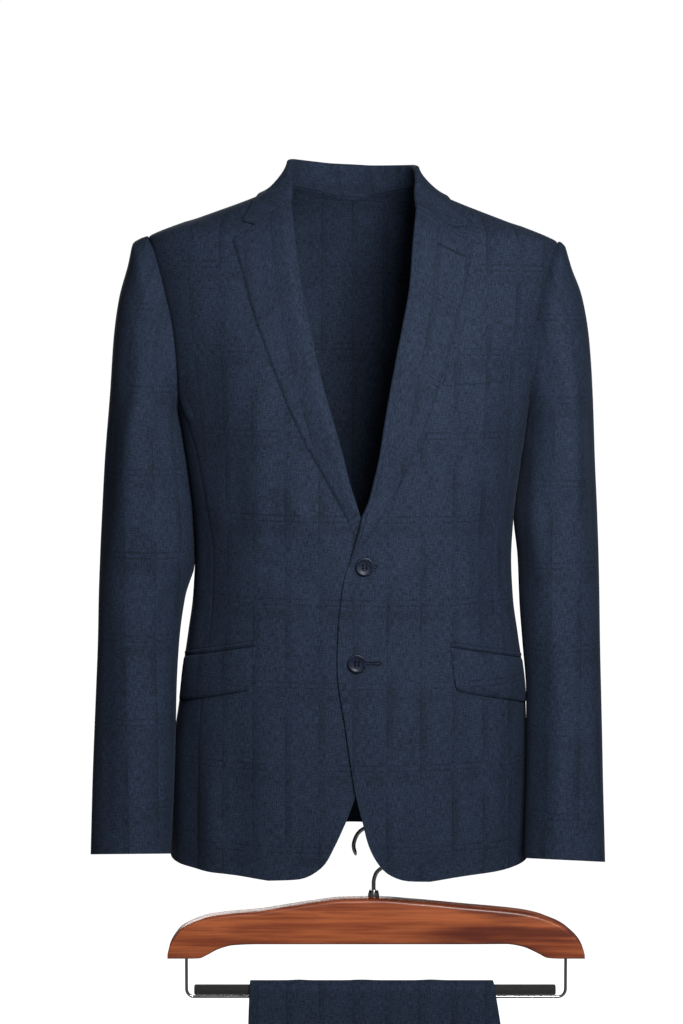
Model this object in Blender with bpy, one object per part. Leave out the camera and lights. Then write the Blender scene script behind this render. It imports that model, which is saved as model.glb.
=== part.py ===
"""Two-piece suit: a jacket in its worn form, and its trousers folded over a wooden hanger.

Metres, +Z up, the front faces -Y, the wearer's left is +X. The origin lies where the
wearer's neck and shoulders carry the jacket. Every cloth panel is a wall whose outer face
follows one smooth form, so panels that meet share their seam's points.
"""
import math

import bmesh
import bpy
import numpy as np

# ---------------------------------------------------------------- driving dimensions
WALL = 0.0020            # cloth wall: face cloth, canvas and what lies behind it
SEAM = 0.0002            # each side of a seam, so panels stay 0.4 mm apart
LAP = 0.0036             # the left front stands this far over the right one
ROLL = 0.0012            # inner radius of the rolled lapel and collar
TILT = 0.0135            # the left shoulder hangs lower by this slope
HIP_TUCK = 0.0040        # the left arm lies this far into the hip
HIP_TUCK_TOP, HIP_TUCK_FADE = -0.5200, 0.0800    # from this height down, and how soon
LEAN_LOW, LEAN_FADE, SLEEVE_LEAN = -0.7000, 0.4200, 0.7    # where the lean has faded out
LAP_EDGE, LAP_FADE_X = 0.0620, 0.0320   # the lap ends at this x, and how soon
LAP_TOP, LAP_FADE_Z = -0.3350, 0.0350   # and above this height

SHOULDER_X, SHOULDER_Z = 0.2250, -0.0629
NECK_X, NECK_Z = 0.0780, -0.0050

# columns: height, half width, depth to the front, depth to the back, squareness
TORSO_ROWS = (
    (0.0100, 0.0480, 0.0300, 0.0520, 2.00),
    (-0.0050, 0.0780, 0.0400, 0.0600, 2.00),
    (-0.0161, 0.1006, 0.0480, 0.0700, 2.00),
    (-0.0422, 0.1686, 0.0670, 0.0860, 2.00),
    (-0.0629, 0.2250, 0.0800, 0.0960, 2.05),
    (-0.0900, 0.2243, 0.0940, 0.1060, 2.15),
    (-0.1180, 0.2205, 0.1040, 0.1130, 2.25),
    (-0.1500, 0.2130, 0.1135, 0.1190, 2.35),
    (-0.1870, 0.2062, 0.1200, 0.1230, 2.42),
    (-0.2350, 0.1980, 0.1255, 0.1245, 2.45),
    (-0.2700, 0.1915, 0.1270, 0.1225, 2.45),
    (-0.3200, 0.1840, 0.1275, 0.1155, 2.42),
    (-0.3700, 0.1780, 0.1270, 0.1060, 2.38),
    (-0.4140, 0.1757, 0.1260, 0.1010, 2.35),
    (-0.4600, 0.1780, 0.1250, 0.1020, 2.35),
    (-0.5000, 0.1835, 0.1240, 0.1055, 2.35),
    (-0.5600, 0.1915, 0.1225, 0.1120, 2.38),
    (-0.6200, 0.1940, 0.1215, 0.1175, 2.40),
    (-0.7000, 0.1955, 0.1205, 0.1220, 2.40),
    (-0.7700, 0.1965, 0.1200, 0.1235, 2.40),
)
# hem height against the angle round the body from the front, in degrees
HEM_ROWS = ((0, -0.7580), (40, -0.7570), (66, -0.7530), (90, -0.7485), (112, -0.7450),
            (150, -0.7400), (180, -0.7380))
# seam between front and side body, and between side body and back: height, angle
FRONT_SEAM_ROWS = ((-0.2397, 77.7), (-0.3000, 71.0), (-0.4000, 66.5), (-0.7700, 66.0))
BACK_SEAM_ROWS = ((-0.2254, 106.2), (-0.3000, 110.5), (-0.4000, 113.0), (-0.7700, 112.0))
ARMHOLE_FRONT, ARMHOLE_BACK, ARMHOLE_EGG = 0.052, 0.061, 0.18
ARMHOLE_LOW = -0.2700
PHI_FRONT_SEAM, PHI_BACK_SEAM = 135.0, 235.0

# visible edges, columns x, z; the left front lies over the right one
LEFT_ROLL = ((0.0675, -0.0262), (0.0630, -0.0700), (0.0592, -0.1147), (0.0523, -0.1530),
             (0.0447, -0.1912), (0.0378, -0.2284), (0.0314, -0.2668), (0.0266, -0.2974),
             (0.0222, -0.3171), (0.0150, -0.3450), (0.0080, -0.3618), (0.0059, -0.3731),
             (0.0038, -0.3806), (0.0011, -0.3914), (-0.0012, -0.4011))
LEFT_EDGE = ((-0.0030, -0.4080), (-0.0069, -0.4174), (-0.0096, -0.4282), (-0.0122, -0.4450),
             (-0.0160, -0.4850), (-0.0170, -0.5210), (-0.0080, -0.5910), (0.0026, -0.6620),
             (0.0104, -0.6938))
LEFT_CUTAWAY = ((0.0104, -0.6938), (0.0150, -0.7130), (0.0234, -0.7323), (0.0383, -0.7493),
                (0.0592, -0.7575), (0.0832, -0.7589))
LEFT_HEM = ((0.0832, -0.7589), (0.1090, -0.7560), (0.1404, -0.7540), (0.1640, -0.7530))
RIGHT_ROLL = ((0.0669, -0.0234), (0.0629, -0.0598), (0.0540, -0.1205), (0.0421, -0.1765),
              (0.0346, -0.2103), (0.0229, -0.2526), (0.0123, -0.2887), (0.0027, -0.3270),
              (-0.0075, -0.3612))
RIGHT_EDGE = ((-0.0110, -0.3700), (-0.0175, -0.3880), (-0.0215, -0.4300), (-0.0220, -0.5200),
              (-0.0120, -0.6000), (-0.0026, -0.6620), (0.0070, -0.6900))
RIGHT_CUTAWAY = ((0.0070, -0.6900), (0.0204, -0.7195), (0.0328, -0.7408), (0.0581, -0.7553),
                 (0.0917, -0.7581))
RIGHT_HEM = ((0.0917, -0.7581), (0.1150, -0.7555), (0.1391, -0.7540), (0.1640, -0.7530))

LEFT_LAPEL = ((0.1303, -0.0646), (0.1209, -0.1119), (0.1119, -0.1450), (0.1037, -0.1780),
              (0.0935, -0.2153), (0.0827, -0.2483), (0.0664, -0.2896), (0.0497, -0.3266),
              (0.0305, -0.3600), (0.0219, -0.3740), (0.0155, -0.3837), (0.0091, -0.3930),
              (0.0049, -0.4011))
LEFT_GORGE = ((0.0675, -0.0290), (0.1066, -0.0520), (0.1303, -0.0646))
RIGHT_LAPEL = ((0.1301, -0.0681), (0.1201, -0.0991), (0.1114, -0.1320), (0.0988, -0.1690),
               (0.0842, -0.2091), (0.0656, -0.2544), (0.0453, -0.2951), (0.0243, -0.3316),
               (0.0080, -0.3603), (-0.0027, -0.3800))
RIGHT_GORGE = ((0.0669, -0.0250), (0.1061, -0.0516), (0.1301, -0.0681))

LEFT_TIP, RIGHT_TIP = (0.1199, -0.0485), (0.1196, -0.0464)   # the collar's front corners
TIP_RISE = (0.1120, -0.0330)     # where the fall's edge turns back over the shoulder
LAPEL_SWELL, LAPEL_DIP = 0.0008, 0.0008
LAPEL_DROP = 0.0003              # the lapel's top edge keeps this off the collar
# the fall's clearance above the shoulders and above the back, the gaps at the gorge and the
# neck seam, the crest's lean over the gorge, and how close the fall's hollow comes to the stand
FALL_CLEAR_FRONT, FALL_CLEAR = 0.0032, 0.0022
GORGE_GAP, STAND_LIFT, CREST_LEAN, STAND_TUCK, FALL_ROOM = 0.0011, 0.0005, 0.0008, 0.0003, 0.0020
COLLAR_SAG = 0.0050              # the crest lies lower on the left side of the neck
BACK_NECK_DROP, NECK_CENTRE_Y = 0.0150, 0.0040

# collar stations from the gorge to the back: crest x, y, z, how far the station has turned up
# from the lapel's roll, and how much its fall is hollowed
COLLAR_ROWS = (
    (0.0675, -0.0440, -0.0250, 0.00, 0.00),
    (0.0690, -0.0330, -0.0090, 0.35, 0.30),
    (0.0705, -0.0170, 0.0080, 0.75, 0.70),
    (0.0700, 0.0040, 0.0190, 1.00, 1.60),
    (0.0650, 0.0290, 0.0205, 1.00, 1.10),
    (0.0455, 0.0490, 0.0190, 1.00, 0.70),
    (0.0225, 0.0597, 0.0172, 1.00, 0.50),
    (0.0000, 0.0625, 0.0165, 1.00, 0.50),
)
# the fall's edge at the last five stations: angle round the neck, height
FALL_ROWS = ((90.0, -0.0160), (112.0, -0.0168), (136.0, -0.0188), (159.0, -0.0214),
             (180.0, -0.0225))

# sleeves: outer x, z, inner x, z, mid y, half depth, squareness; where the inner side would
# reach into the body it lies along it instead
RIGHT_SLEEVE = (
    (0.2250, -0.0629, 0.1915, -0.2700, 0.0045, 0.0565, 2.0),
    (0.2335, -0.0634, 0.1922, -0.2716, 0.0045, 0.0605, 2.0),
    (0.2422, -0.0678, 0.1924, -0.2736, 0.0045, 0.0660, 2.0),
    (0.2487, -0.0966, 0.1922, -0.2765, 0.0045, 0.0705, 2.1),
    (0.2584, -0.1323, 0.1915, -0.2800, 0.0040, 0.0735, 2.1),
    (0.2645, -0.1750, 0.1900, -0.2850, 0.0040, 0.0755, 2.1),
    (0.2687, -0.2352, 0.1875, -0.2950, 0.0020, 0.0765, 2.2),
    (0.2750, -0.3100, 0.1840, -0.3150, 0.0000, 0.0755, 2.2),
    (0.2780, -0.3620, 0.1775, -0.3640, -0.0040, 0.0725, 2.2),
    (0.2803, -0.4131, 0.1768, -0.4150, -0.0100, 0.0690, 2.2),
    (0.2815, -0.4620, 0.1862, -0.4620, -0.0170, 0.0660, 2.2),
    (0.2822, -0.5094, 0.1925, -0.5090, -0.0240, 0.0630, 2.2),
    (0.2838, -0.5600, 0.1952, -0.5600, -0.0330, 0.0600, 2.2),
    (0.2855, -0.6100, 0.1960, -0.6100, -0.0420, 0.0575, 2.2),
    (0.2870, -0.6600, 0.1972, -0.6600, -0.0510, 0.0550, 2.2),
    (0.2878, -0.7050, 0.1990, -0.7050, -0.0600, 0.0525, 2.2),
    (0.2884, -0.7408, 0.2008, -0.7392, -0.0670, 0.0505, 2.2),
)
LEFT_SLEEVE = (
    (0.2250, -0.0629, 0.1915, -0.2700, 0.0045, 0.0565, 2.0),
    (0.2290, -0.0630, 0.1922, -0.2716, 0.0045, 0.0605, 2.0),
    (0.2335, -0.0660, 0.1924, -0.2736, 0.0045, 0.0660, 2.0),
    (0.2418, -0.0937, 0.1922, -0.2765, 0.0045, 0.0705, 2.1),
    (0.2525, -0.1230, 0.1915, -0.2800, 0.0040, 0.0735, 2.1),
    (0.2610, -0.1720, 0.1900, -0.2850, 0.0040, 0.0755, 2.1),
    (0.2652, -0.2350, 0.1875, -0.2950, 0.0020, 0.0765, 2.2),
    (0.2680, -0.3060, 0.1840, -0.3150, 0.0000, 0.0755, 2.2),
    (0.2705, -0.3600, 0.1780, -0.3640, -0.0040, 0.0725, 2.2),
    (0.2719, -0.4063, 0.1828, -0.4150, -0.0100, 0.0690, 2.2),
    (0.2727, -0.4600, 0.1845, -0.4620, -0.0170, 0.0660, 2.2),
    (0.2731, -0.5060, 0.1876, -0.5060, -0.0240, 0.0630, 2.2),
    (0.2739, -0.5600, 0.1914, -0.5600, -0.0340, 0.0600, 2.2),
    (0.2746, -0.6100, 0.1914, -0.6100, -0.0440, 0.0575, 2.2),
    (0.2752, -0.6600, 0.1905, -0.6600, -0.0530, 0.0550, 2.2),
    (0.2760, -0.7050, 0.1890, -0.7050, -0.0620, 0.0525, 2.2),
    (0.2767, -0.7435, 0.1880, -0.7400, -0.0690, 0.0505, 2.2),
)

ARM_CLEAR, CLEAR_ROWS = 0.0008, 3    # between a sleeve and the body it lies along
HEAD_ROWS = 5                    # how many rows the sleeve's head takes to leave the armhole
CUFF_SLANT, CUFF_SLANT_ROWS = 0.205, (12, 16)   # the cuff is cut higher at the front

# hip pockets: x or angle and height of the corners
FLAP_FRONT_X, FLAP_END = 0.1047, 81.0
FLAP_TOP_FRONT, FLAP_TOP_END = -0.5015, -0.5235
FLAP_LOW_FRONT, FLAP_LOW_END = -0.5400, -0.5735
FLAP_CORNER = ((0.1088, -0.5400), (0.1110, -0.5480), (0.1205, -0.5524))
JETTING = 0.0052
# how far these pieces lie off their panel, and their thickness
FLAP_LIFT, JETTING_LIFT, WELT_LIFT, JETTING_T, WELT_T = 0.0014, 0.0008, 0.0006, 0.0016, 0.0015
# breast welt corners: top inner, top outer, lower outer, lower inner
WELT = ((0.1010, -0.1962), (0.1668, -0.1931), (0.1653, -0.2165), (0.0940, -0.2205))

BUTTON_LIFT, BUTTON_SIDES, HOLE_R, HOLE_OFF = 0.0004, 20, 0.0011, 0.0027
HOLE_REACH = (-0.0030, 0.0060)   # the holes' cutters run from below the button to above it
BUTTON_ROWS = (  # radius, height
    (0.0, 0.0), (0.0062, 0.0), (0.0100, 0.0013), (0.0100, 0.0022), (0.0088, 0.0034),
    (0.0072, 0.0030), (0.0060, 0.0022), (0.0, 0.0022))
BUTTONS = {"button_top": (0.0120, -0.4131), "button_lower": (0.0038, -0.5179)}

# hanger
HANGER_Y = -0.0700
WOOD_T, WOOD_BEVEL = 0.0240, 0.0040
BEVEL_SHARE, BEVEL_ROUND = 0.4, 0.3   # of a thin end's height, and of the bevel itself
WOOD_ROWS = (  # x, top edge, lower edge
    (-0.2040, -0.8465, -0.8521), (-0.2017, -0.8375, -0.8521), (-0.1960, -0.8270, -0.8521),
    (-0.1880, -0.8178, -0.8521), (-0.1785, -0.8125, -0.8521), (-0.1687, -0.8085, -0.8517),
    (-0.1619, -0.8062, -0.8487), (-0.1466, -0.8035, -0.8409), (-0.1310, -0.8017, -0.8370),
    (-0.1047, -0.7995, -0.8360), (-0.0761, -0.7950, -0.8360), (-0.0475, -0.7905, -0.8360),
    (-0.0112, -0.7861, -0.8360), (0.0250, -0.7856, -0.8360), (0.0655, -0.7883, -0.8360),
    (0.1204, -0.7935, -0.8360), (0.1684, -0.7979, -0.8358), (0.1849, -0.8000, -0.8383),
    (0.2040, -0.8042, -0.8465), (0.2136, -0.8078, -0.8513), (0.2277, -0.8140, -0.8521),
    (0.2390, -0.8225, -0.8521), (0.2480, -0.8320, -0.8521), (0.2528, -0.8410, -0.8521),
    (0.2544, -0.8470, -0.8521),
)
WIRE_R, WIRE_BEND = 0.00165, 0.0085
WIRE_LEFT, WIRE_RIGHT, WIRE_TOP, WIRE_LOW = -0.1837, 0.2342, -0.8524, -0.89665
TUBE_R, TUBE_LEFT, TUBE_RIGHT, TUBE_Z, TUBE_ROUND = 0.0059, -0.1752, 0.2233, -0.8888, 0.0008
REST = 0.0003            # parts that touch lie this far apart
HOOK_R, HOOK_X = 0.0022, 0.0225
HOOK_ROWS = (  # x from the stem, height
    (0.0, -0.7764), (0.0, -0.7690), (0.0025, -0.7590), (0.0115, -0.7500), (0.0195, -0.7400),
    (0.0220, -0.7280), (0.0190, -0.7170), (0.0110, -0.7090), (0.0, -0.7060),
    (-0.0110, -0.7090), (-0.0190, -0.7170), (-0.0220, -0.7280), (-0.0195, -0.7385))
FERRULE_R, FERRULE_TOP_R, FERRULE_H, FERRULE_LOW = 0.0062, 0.00465, 0.0085, 0.00595

# trousers: distance along the fold from the bar's top (+ to the front, the waist half),
# left edge, right edge
TROUSER_ROWS = (
    (-0.6200, -0.0920, 0.1020), (-0.5200, -0.0940, 0.1060), (-0.3500, -0.1000, 0.1180),
    (-0.2000, -0.1080, 0.1350), (-0.0500, -0.1130, 0.1500), (0.0, -0.1137, 0.1545),
    (0.0450, -0.1154, 0.1615), (0.1000, -0.1165, 0.1700), (0.1500, -0.1175, 0.1800),
    (0.1850, -0.1180, 0.1960), (0.2100, -0.1185, 0.2240), (0.2400, -0.1190, 0.2520),
    (0.2800, -0.1195, 0.2620), (0.3400, -0.1200, 0.2500), (0.4000, -0.1210, 0.2260),
    (0.4450, -0.1220, 0.2050),
)
LEG_T = 0.0020
LEG_BACK_ROWS, LEG_BEND_ROWS, LEG_FRONT_ROWS, LEG_COLS = 9, 9, 15, 6
WAIST_TOP, WAIST_H, BAND_INSET = 0.4445, 0.0400, 0.0006
STRIP_T, STRIP_GAP = 0.0012, 0.0004
POCKET_TOP, POCKET_LOW, POCKET_W = (-0.0360, 0.3980), (-0.0040, 0.2350), 0.0120

# ---------------------------------------------------------------- materials
COLORS = {
    "suit_cloth": ((0.016, 0.026, 0.048), 0.85, 0.0),
    "button_resin": ((0.012, 0.018, 0.035), 0.35, 0.0),
    "hanger_wood": ((0.20, 0.055, 0.022), 0.35, 0.0),
    "hanger_chrome": ((0.60, 0.60, 0.62), 0.20, 1.0),
    "tube_rubber": ((0.02, 0.02, 0.022), 0.75, 0.0),
}


# ---------------------------------------------------------------- curves and paths
class Curve:
    """Monotone cubic through rows of (key, value)."""

    def __init__(self, keys, values):
        keys, values = np.array(keys, float), np.array(values, float)
        order = np.argsort(keys)
        k, v = keys[order], values[order]
        h = np.diff(k)
        d = np.diff(v) / h
        m = np.zeros_like(v)
        m[0], m[-1] = d[0], d[-1]
        for i in range(1, len(v) - 1):
            if d[i - 1] * d[i] > 0:
                w1, w2 = 2 * h[i] + h[i - 1], h[i] + 2 * h[i - 1]
                m[i] = (w1 + w2) / (w1 / d[i - 1] + w2 / d[i])
        self.k, self.v, self.m = k, v, m

    def __call__(self, x):
        x = np.asarray(x, float)
        i = np.clip(np.searchsorted(self.k, x) - 1, 0, len(self.k) - 2)
        h = self.k[i + 1] - self.k[i]
        t = np.clip((x - self.k[i]) / h, 0, 1)
        return ((2 * t ** 3 - 3 * t ** 2 + 1) * self.v[i] + (t ** 3 - 2 * t ** 2 + t) * h * self.m[i]
                + (3 * t ** 2 - 2 * t ** 3) * self.v[i + 1] + (t ** 3 - t ** 2) * h * self.m[i + 1])


def column(rows, index):
    return Curve([r[0] for r in rows], [r[index] for r in rows])


def along(points, count):
    """count + 1 points evenly spaced along a smooth path through the given points."""
    p = np.array(points, float)
    s = np.concatenate([[0], np.cumsum(np.linalg.norm(np.diff(p, axis=0), axis=1))])
    f = np.linspace(0, s[-1], count + 1)
    return np.stack([Curve(s, p[:, c])(f) for c in range(p.shape[1])], -1)


def chain(*parts):
    """Joins sampled paths that share their end points."""
    out = [parts[0]]
    for part in parts[1:]:
        out.append(part[1:])
    return np.concatenate(out)


def smooth(t):
    t = np.clip(t, 0, 1)
    return t * t * (3 - 2 * t)


def coons(top, bottom, inner, outer, place=None):
    """Grid [row, column] that blends four boundary paths; place turns their points into metres."""
    nu, nv = len(top) - 1, len(inner) - 1

    def steps(p):
        q = place(p[:, 0], p[:, 1]) if place else p
        s = np.concatenate([[0], np.cumsum(np.linalg.norm(np.diff(q, axis=0), axis=1))])
        return s / s[-1]

    u = 0.5 * (steps(top) + steps(bottom))[None, :, None]
    v = 0.5 * (steps(inner) + steps(outer))[:, None, None]
    assert len(bottom) == nu + 1 and len(outer) == nv + 1
    ruled_v = (1 - v) * top[None] + v * bottom[None]
    ruled_u = (1 - u) * inner[:, None] + u * outer[:, None]
    corners = ((1 - u) * (1 - v) * top[0] + u * (1 - v) * top[-1]
               + (1 - u) * v * bottom[0] + u * v * bottom[-1])
    return ruled_v + ruled_u - corners


# ---------------------------------------------------------------- the torso's form
HALF_W, DEPTH_F, DEPTH_B, POWER = (column(TORSO_ROWS, i) for i in (1, 2, 3, 4))
RIDGE_Z = Curve([r[1] for r in TORSO_ROWS[1:5]], [r[0] for r in TORSO_ROWS[1:5]])
HEM = column(HEM_ROWS, 1)
FRONT_SEAM, BACK_SEAM = column(FRONT_SEAM_ROWS, 1), column(BACK_SEAM_ROWS, 1)


def torso(psi, z):
    """Outer face at an angle from the front, positive to the wearer's left, and a height."""
    psi, z = np.broadcast_arrays(np.asarray(psi, float), np.asarray(z, float))
    s, c = np.sin(psi), np.cos(psi)
    a, n = HALF_W(z), POWER(z)
    b = np.where(c >= 0, DEPTH_F(z), DEPTH_B(z))
    r = ((np.abs(s) / a) ** n + (np.abs(c) / b) ** n) ** (-1 / n)
    tuck = HIP_TUCK * np.maximum(s, 0) ** 2 * smooth((HIP_TUCK_TOP - z) / HIP_TUCK_FADE)
    x = r * s - tuck
    return np.stack([x, -r * c, z], -1)


def torso_normal(psi, z):
    e = 2e-4
    across = torso(psi + e, z) - torso(psi - e, z)
    up = torso(psi, z + e) - torso(psi, z - e)
    n = np.cross(across, up)
    return n / np.linalg.norm(n, axis=-1, keepdims=True)


def shell(psi, z, out):
    """Point above the torso's form."""
    return torso(psi, z) + torso_normal(psi, z) * np.asarray(out, float)[..., None]


def front_angle(x, z):
    """Angle of the front point whose x and height are given."""
    x, z = np.asarray(x, float), np.asarray(z, float)
    a, n = HALF_W(z), POWER(z)
    q = np.clip(1 - (np.abs(x) / a) ** n, 0, 1)
    return np.arctan2(x, DEPTH_F(z) * q ** (1 / n))


def side_reach(y, z):
    """Half width of the body at the given y and height."""
    n = POWER(z)
    b = np.where(y <= 0, DEPTH_F(z), DEPTH_B(z))
    return HALF_W(z) * np.clip(1 - (np.abs(y) / b) ** n, 0, 1) ** (1 / n)


def side_angle(y, z):
    """Angle, on the wearer's left, of the side point whose y and height are given."""
    return np.arctan2(side_reach(y, z), -y)


def lean(points, low=0.0):
    """The left shoulder hangs lower; the hem stays level."""
    p = np.array(points, float)
    fade = low + (1 - low) * np.clip((p[..., 2] - LEAN_LOW) / LEAN_FADE, 0, 1)
    p[..., 2] -= TILT * p[..., 0] * fade
    return p


def armhole(phi):
    """Armhole loop on the wearer's left as (angle, height); phi in degrees, 0 at the top."""
    f = np.radians(phi)
    mid, half = (SHOULDER_Z + ARMHOLE_LOW) / 2, (SHOULDER_Z - ARMHOLE_LOW) / 2
    z = mid + half * np.cos(f)
    reach = np.where(np.sin(f) >= 0, -ARMHOLE_FRONT, ARMHOLE_BACK)
    y = reach * np.abs(np.sin(f)) * (1 - ARMHOLE_EGG * np.cos(f))
    return np.stack([side_angle(y, z), z], -1)


def flat(points, side=1):
    """Front (x, z) points as (angle, height); x is measured towards the wearer's side."""
    p = np.array(points, float)
    return np.stack([front_angle(p[:, 0] * side, p[:, 1]), p[:, 1]], -1)


# ---------------------------------------------------------------- solids
def finish(name, bm, slot, smooth_angle=50):
    bmesh.ops.recalc_face_normals(bm, faces=bm.faces)
    mesh = bpy.data.meshes.new(name)
    bm.to_mesh(mesh)
    bm.free()
    mesh.shade_smooth()
    mesh.set_sharp_from_angle(angle=math.radians(smooth_angle))
    mesh.materials.append(MATERIALS[slot])
    ob = bpy.data.objects.new(name, mesh)
    bpy.context.collection.objects.link(ob)
    return ob


def wall(name, outer, inner, low=0.0):
    """Closed cloth wall between two grids [row, column] of points."""
    outer, inner = lean(outer, low), lean(inner, low)
    rows, cols = outer.shape[:2]
    bm = bmesh.new()
    a = [[bm.verts.new(p) for p in row] for row in outer]
    b = [[bm.verts.new(p) for p in row] for row in inner]
    for i in range(rows - 1):
        for j in range(cols - 1):
            bm.faces.new((a[i][j], a[i][j + 1], a[i + 1][j + 1], a[i + 1][j]))
            bm.faces.new((b[i][j], b[i + 1][j], b[i + 1][j + 1], b[i][j + 1]))
    for j in range(cols - 1):
        bm.faces.new((a[0][j], b[0][j], b[0][j + 1], a[0][j + 1]))
        bm.faces.new((a[-1][j], a[-1][j + 1], b[-1][j + 1], b[-1][j]))
    for i in range(rows - 1):
        bm.faces.new((a[i][0], a[i + 1][0], b[i + 1][0], b[i][0]))
        bm.faces.new((a[i][-1], b[i][-1], b[i + 1][-1], a[i + 1][-1]))
    return finish(name, bm, "suit_cloth")


def trim(points, sides, gap=SEAM):
    """Draws the named edges of a grid in by a seam's half gap."""
    p = points.copy()

    def pull(edge, inside):
        d = inside - edge
        return edge + gap * d / np.linalg.norm(d, axis=-1, keepdims=True)

    q = p.copy()
    if "i" in sides:
        q[:, 0] = pull(p[:, 0], p[:, 1])
    if "o" in sides:
        q[:, -1] = pull(p[:, -1], p[:, -2])
    if "t" in sides:
        q[0] = pull(q[0], q[1])
    if "b" in sides:
        q[-1] = pull(q[-1], q[-2])
    return q


def panel(name, grid, sides):
    """Cloth panel from a grid of (angle, height) with seams on the named sides."""
    psi, z = grid[..., 0], grid[..., 1]
    outer = trim(torso(psi, z), sides)
    return wall(name, outer, outer - WALL * torso_normal(psi, z))


def lap(psi, z):
    """How far the left front stands off where it lies over the right one."""
    x = torso(psi, z)[..., 0]
    return LAP * smooth((LAP_EDGE - x) / LAP_FADE_X) * smooth((LAP_TOP - z) / LAP_FADE_Z)


# ---------------------------------------------------------------- jacket body
ARM_ROWS, SEAM_ROWS, SHOULDER_COLS, NECK_COLS, SIDE_COLS = 8, 18, 7, 4, 5
ARM_SHIFT, SIDE_SHIFT = 2, 3           # how many columns the sleeve's seams lie off the body's
LAPEL_ROWS, GORGE_COLS, NOTCH_COLS, TURN_COLS = 13, 4, 2, 4
NECK_STEPS = (1.0, 0.62, 0.30, 0.0)    # from the gorge to the shoulder seam


def mirror(grid, side):
    g = grid.copy()
    g[..., 0] *= side
    return g


def shoulder_seam():
    x = np.linspace(NECK_X, SHOULDER_X, SHOULDER_COLS + 1)
    return np.stack([np.full_like(x, math.pi / 2), RIDGE_Z(x)], -1)


def long_seam(table, phi):
    """Seam from the armhole to the hem as (angle, height)."""
    start = armhole(np.array([phi]))[0]
    psi_end = math.radians(float(table(-0.75)))
    z_end = float(HEM(math.degrees(psi_end)))
    z = np.linspace(start[1], z_end, SEAM_ROWS + 1)
    psi = np.radians(table(z))
    psi[0] = start[0]
    return np.stack([psi, z], -1)


def turn_room(points):
    """Shifts a visible rolled edge outwards to where the cloth starts to turn."""
    p = np.array(points, float)
    p[:, 0] += ROLL + WALL
    return p


def roll_line(side):
    """Where the front's cloth starts to turn into the lapel, from the gorge down, as (x, z)."""
    p = turn_room(LEFT_ROLL if side > 0 else RIGHT_ROLL)
    gorge = LEFT_GORGE if side > 0 else RIGHT_GORGE
    p[0] = (gorge[0][0] + ROLL + WALL, gorge[0][1])
    return along(p, LAPEL_ROWS)


def front_neck(side):
    """Neck seam from the gorge to the shoulder seam as (angle, height)."""
    start = flat(roll_line(side)[:1])[0]
    end = np.array((math.pi / 2, NECK_Z))
    return np.array([end + (start - end) * t for t in NECK_STEPS])


def nape():
    """Neck seam from the shoulder seam to the centre back as (angle, height)."""
    t = np.linspace(0, 1, NECK_COLS + 1)
    return np.stack([math.pi / 2 * (1 + t), NECK_Z - BACK_NECK_DROP * t ** 2], -1)


def front(side):
    edge, cutaway, hem = ((LEFT_EDGE, LEFT_CUTAWAY, LEFT_HEM) if side > 0 else
                          (RIGHT_EDGE, RIGHT_CUTAWAY, RIGHT_HEM))
    top = shoulder_seam()
    roll = roll_line(side)
    inner = chain(front_neck(side)[::-1], flat(roll), flat(along((roll[-1], *edge), 7)),
                  flat(along(cutaway, 3)))
    outer = chain(armhole(np.linspace(0, PHI_FRONT_SEAM, ARM_ROWS + 1)),
                  long_seam(FRONT_SEAM, PHI_FRONT_SEAM))
    low = flat(along(hem, SHOULDER_COLS))
    low[-1] = outer[-1]
    grid = mirror(coons(top, low, inner, outer, torso), side)
    out = lap(grid[..., 0], grid[..., 1]) if side > 0 else 0.0
    name = "front_left" if side > 0 else "front_right"
    psi, z = grid[..., 0], grid[..., 1]
    outer_face = trim(shell(psi, z, np.broadcast_to(out, psi.shape)), "to")
    # the neck and roll edges leave the collar and the lapel their seam
    upper = trim(outer_face, "i")
    outer_face[:LAPEL_ROWS + 4, 0] = upper[:LAPEL_ROWS + 4, 0]
    return wall(name, outer_face, outer_face - WALL * torso_normal(psi, z))


def side_body(side):
    top = armhole(np.linspace(PHI_FRONT_SEAM, PHI_BACK_SEAM, SIDE_COLS + 1))
    inner = long_seam(FRONT_SEAM, PHI_FRONT_SEAM)
    outer = long_seam(BACK_SEAM, PHI_BACK_SEAM)
    psi = np.linspace(inner[-1, 0], outer[-1, 0], SIDE_COLS + 1)
    low = np.stack([psi, HEM(np.degrees(psi))], -1)
    grid = mirror(coons(top, low, inner, outer, torso), side)
    panel("side_left" if side > 0 else "side_right", grid, "tio")


def back(side):
    neck = nape()[::-1]
    top = chain(neck, shoulder_seam())
    z = np.linspace(neck[0, 1], float(HEM(180)), ARM_ROWS + SEAM_ROWS + 1)
    inner = np.stack([np.full_like(z, math.pi), z], -1)
    outer = chain(armhole(np.linspace(360, PHI_BACK_SEAM, ARM_ROWS + 1)),
                  long_seam(BACK_SEAM, PHI_BACK_SEAM))
    psi = np.linspace(math.pi, outer[-1, 0], NECK_COLS + SHOULDER_COLS + 1)
    low = np.stack([psi, HEM(np.degrees(psi))], -1)
    grid = mirror(coons(top, low, inner, outer, torso), side)
    panel("back_left" if side > 0 else "back_right", grid, "tio")


# ---------------------------------------------------------------- sleeves
def sleeve_form(rows, phi, tau):
    """Outer face of a sleeve on the wearer's left: ring angle phi, table position tau."""
    keys = np.arange(len(rows))
    ox, oz, ix, iz, ym, hd, pw = (Curve(keys, [r[c] for r in rows])(tau) for c in range(7))
    f = np.radians(phi)
    c, s = np.cos(f), np.sin(f)
    rho = (np.abs(c) ** pw + np.abs(s) ** pw) ** (-1 / pw)
    c, s = c * rho, s * rho
    first, last = CUFF_SLANT_ROWS
    slant = CUFF_SLANT * hd * s * smooth((tau - first) / (last - first))
    return np.stack([(ox + ix) / 2 + (ox - ix) / 2 * c, ym - hd * s,
                     (oz + iz) / 2 + (oz - iz) / 2 * c + slant], -1)


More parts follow.
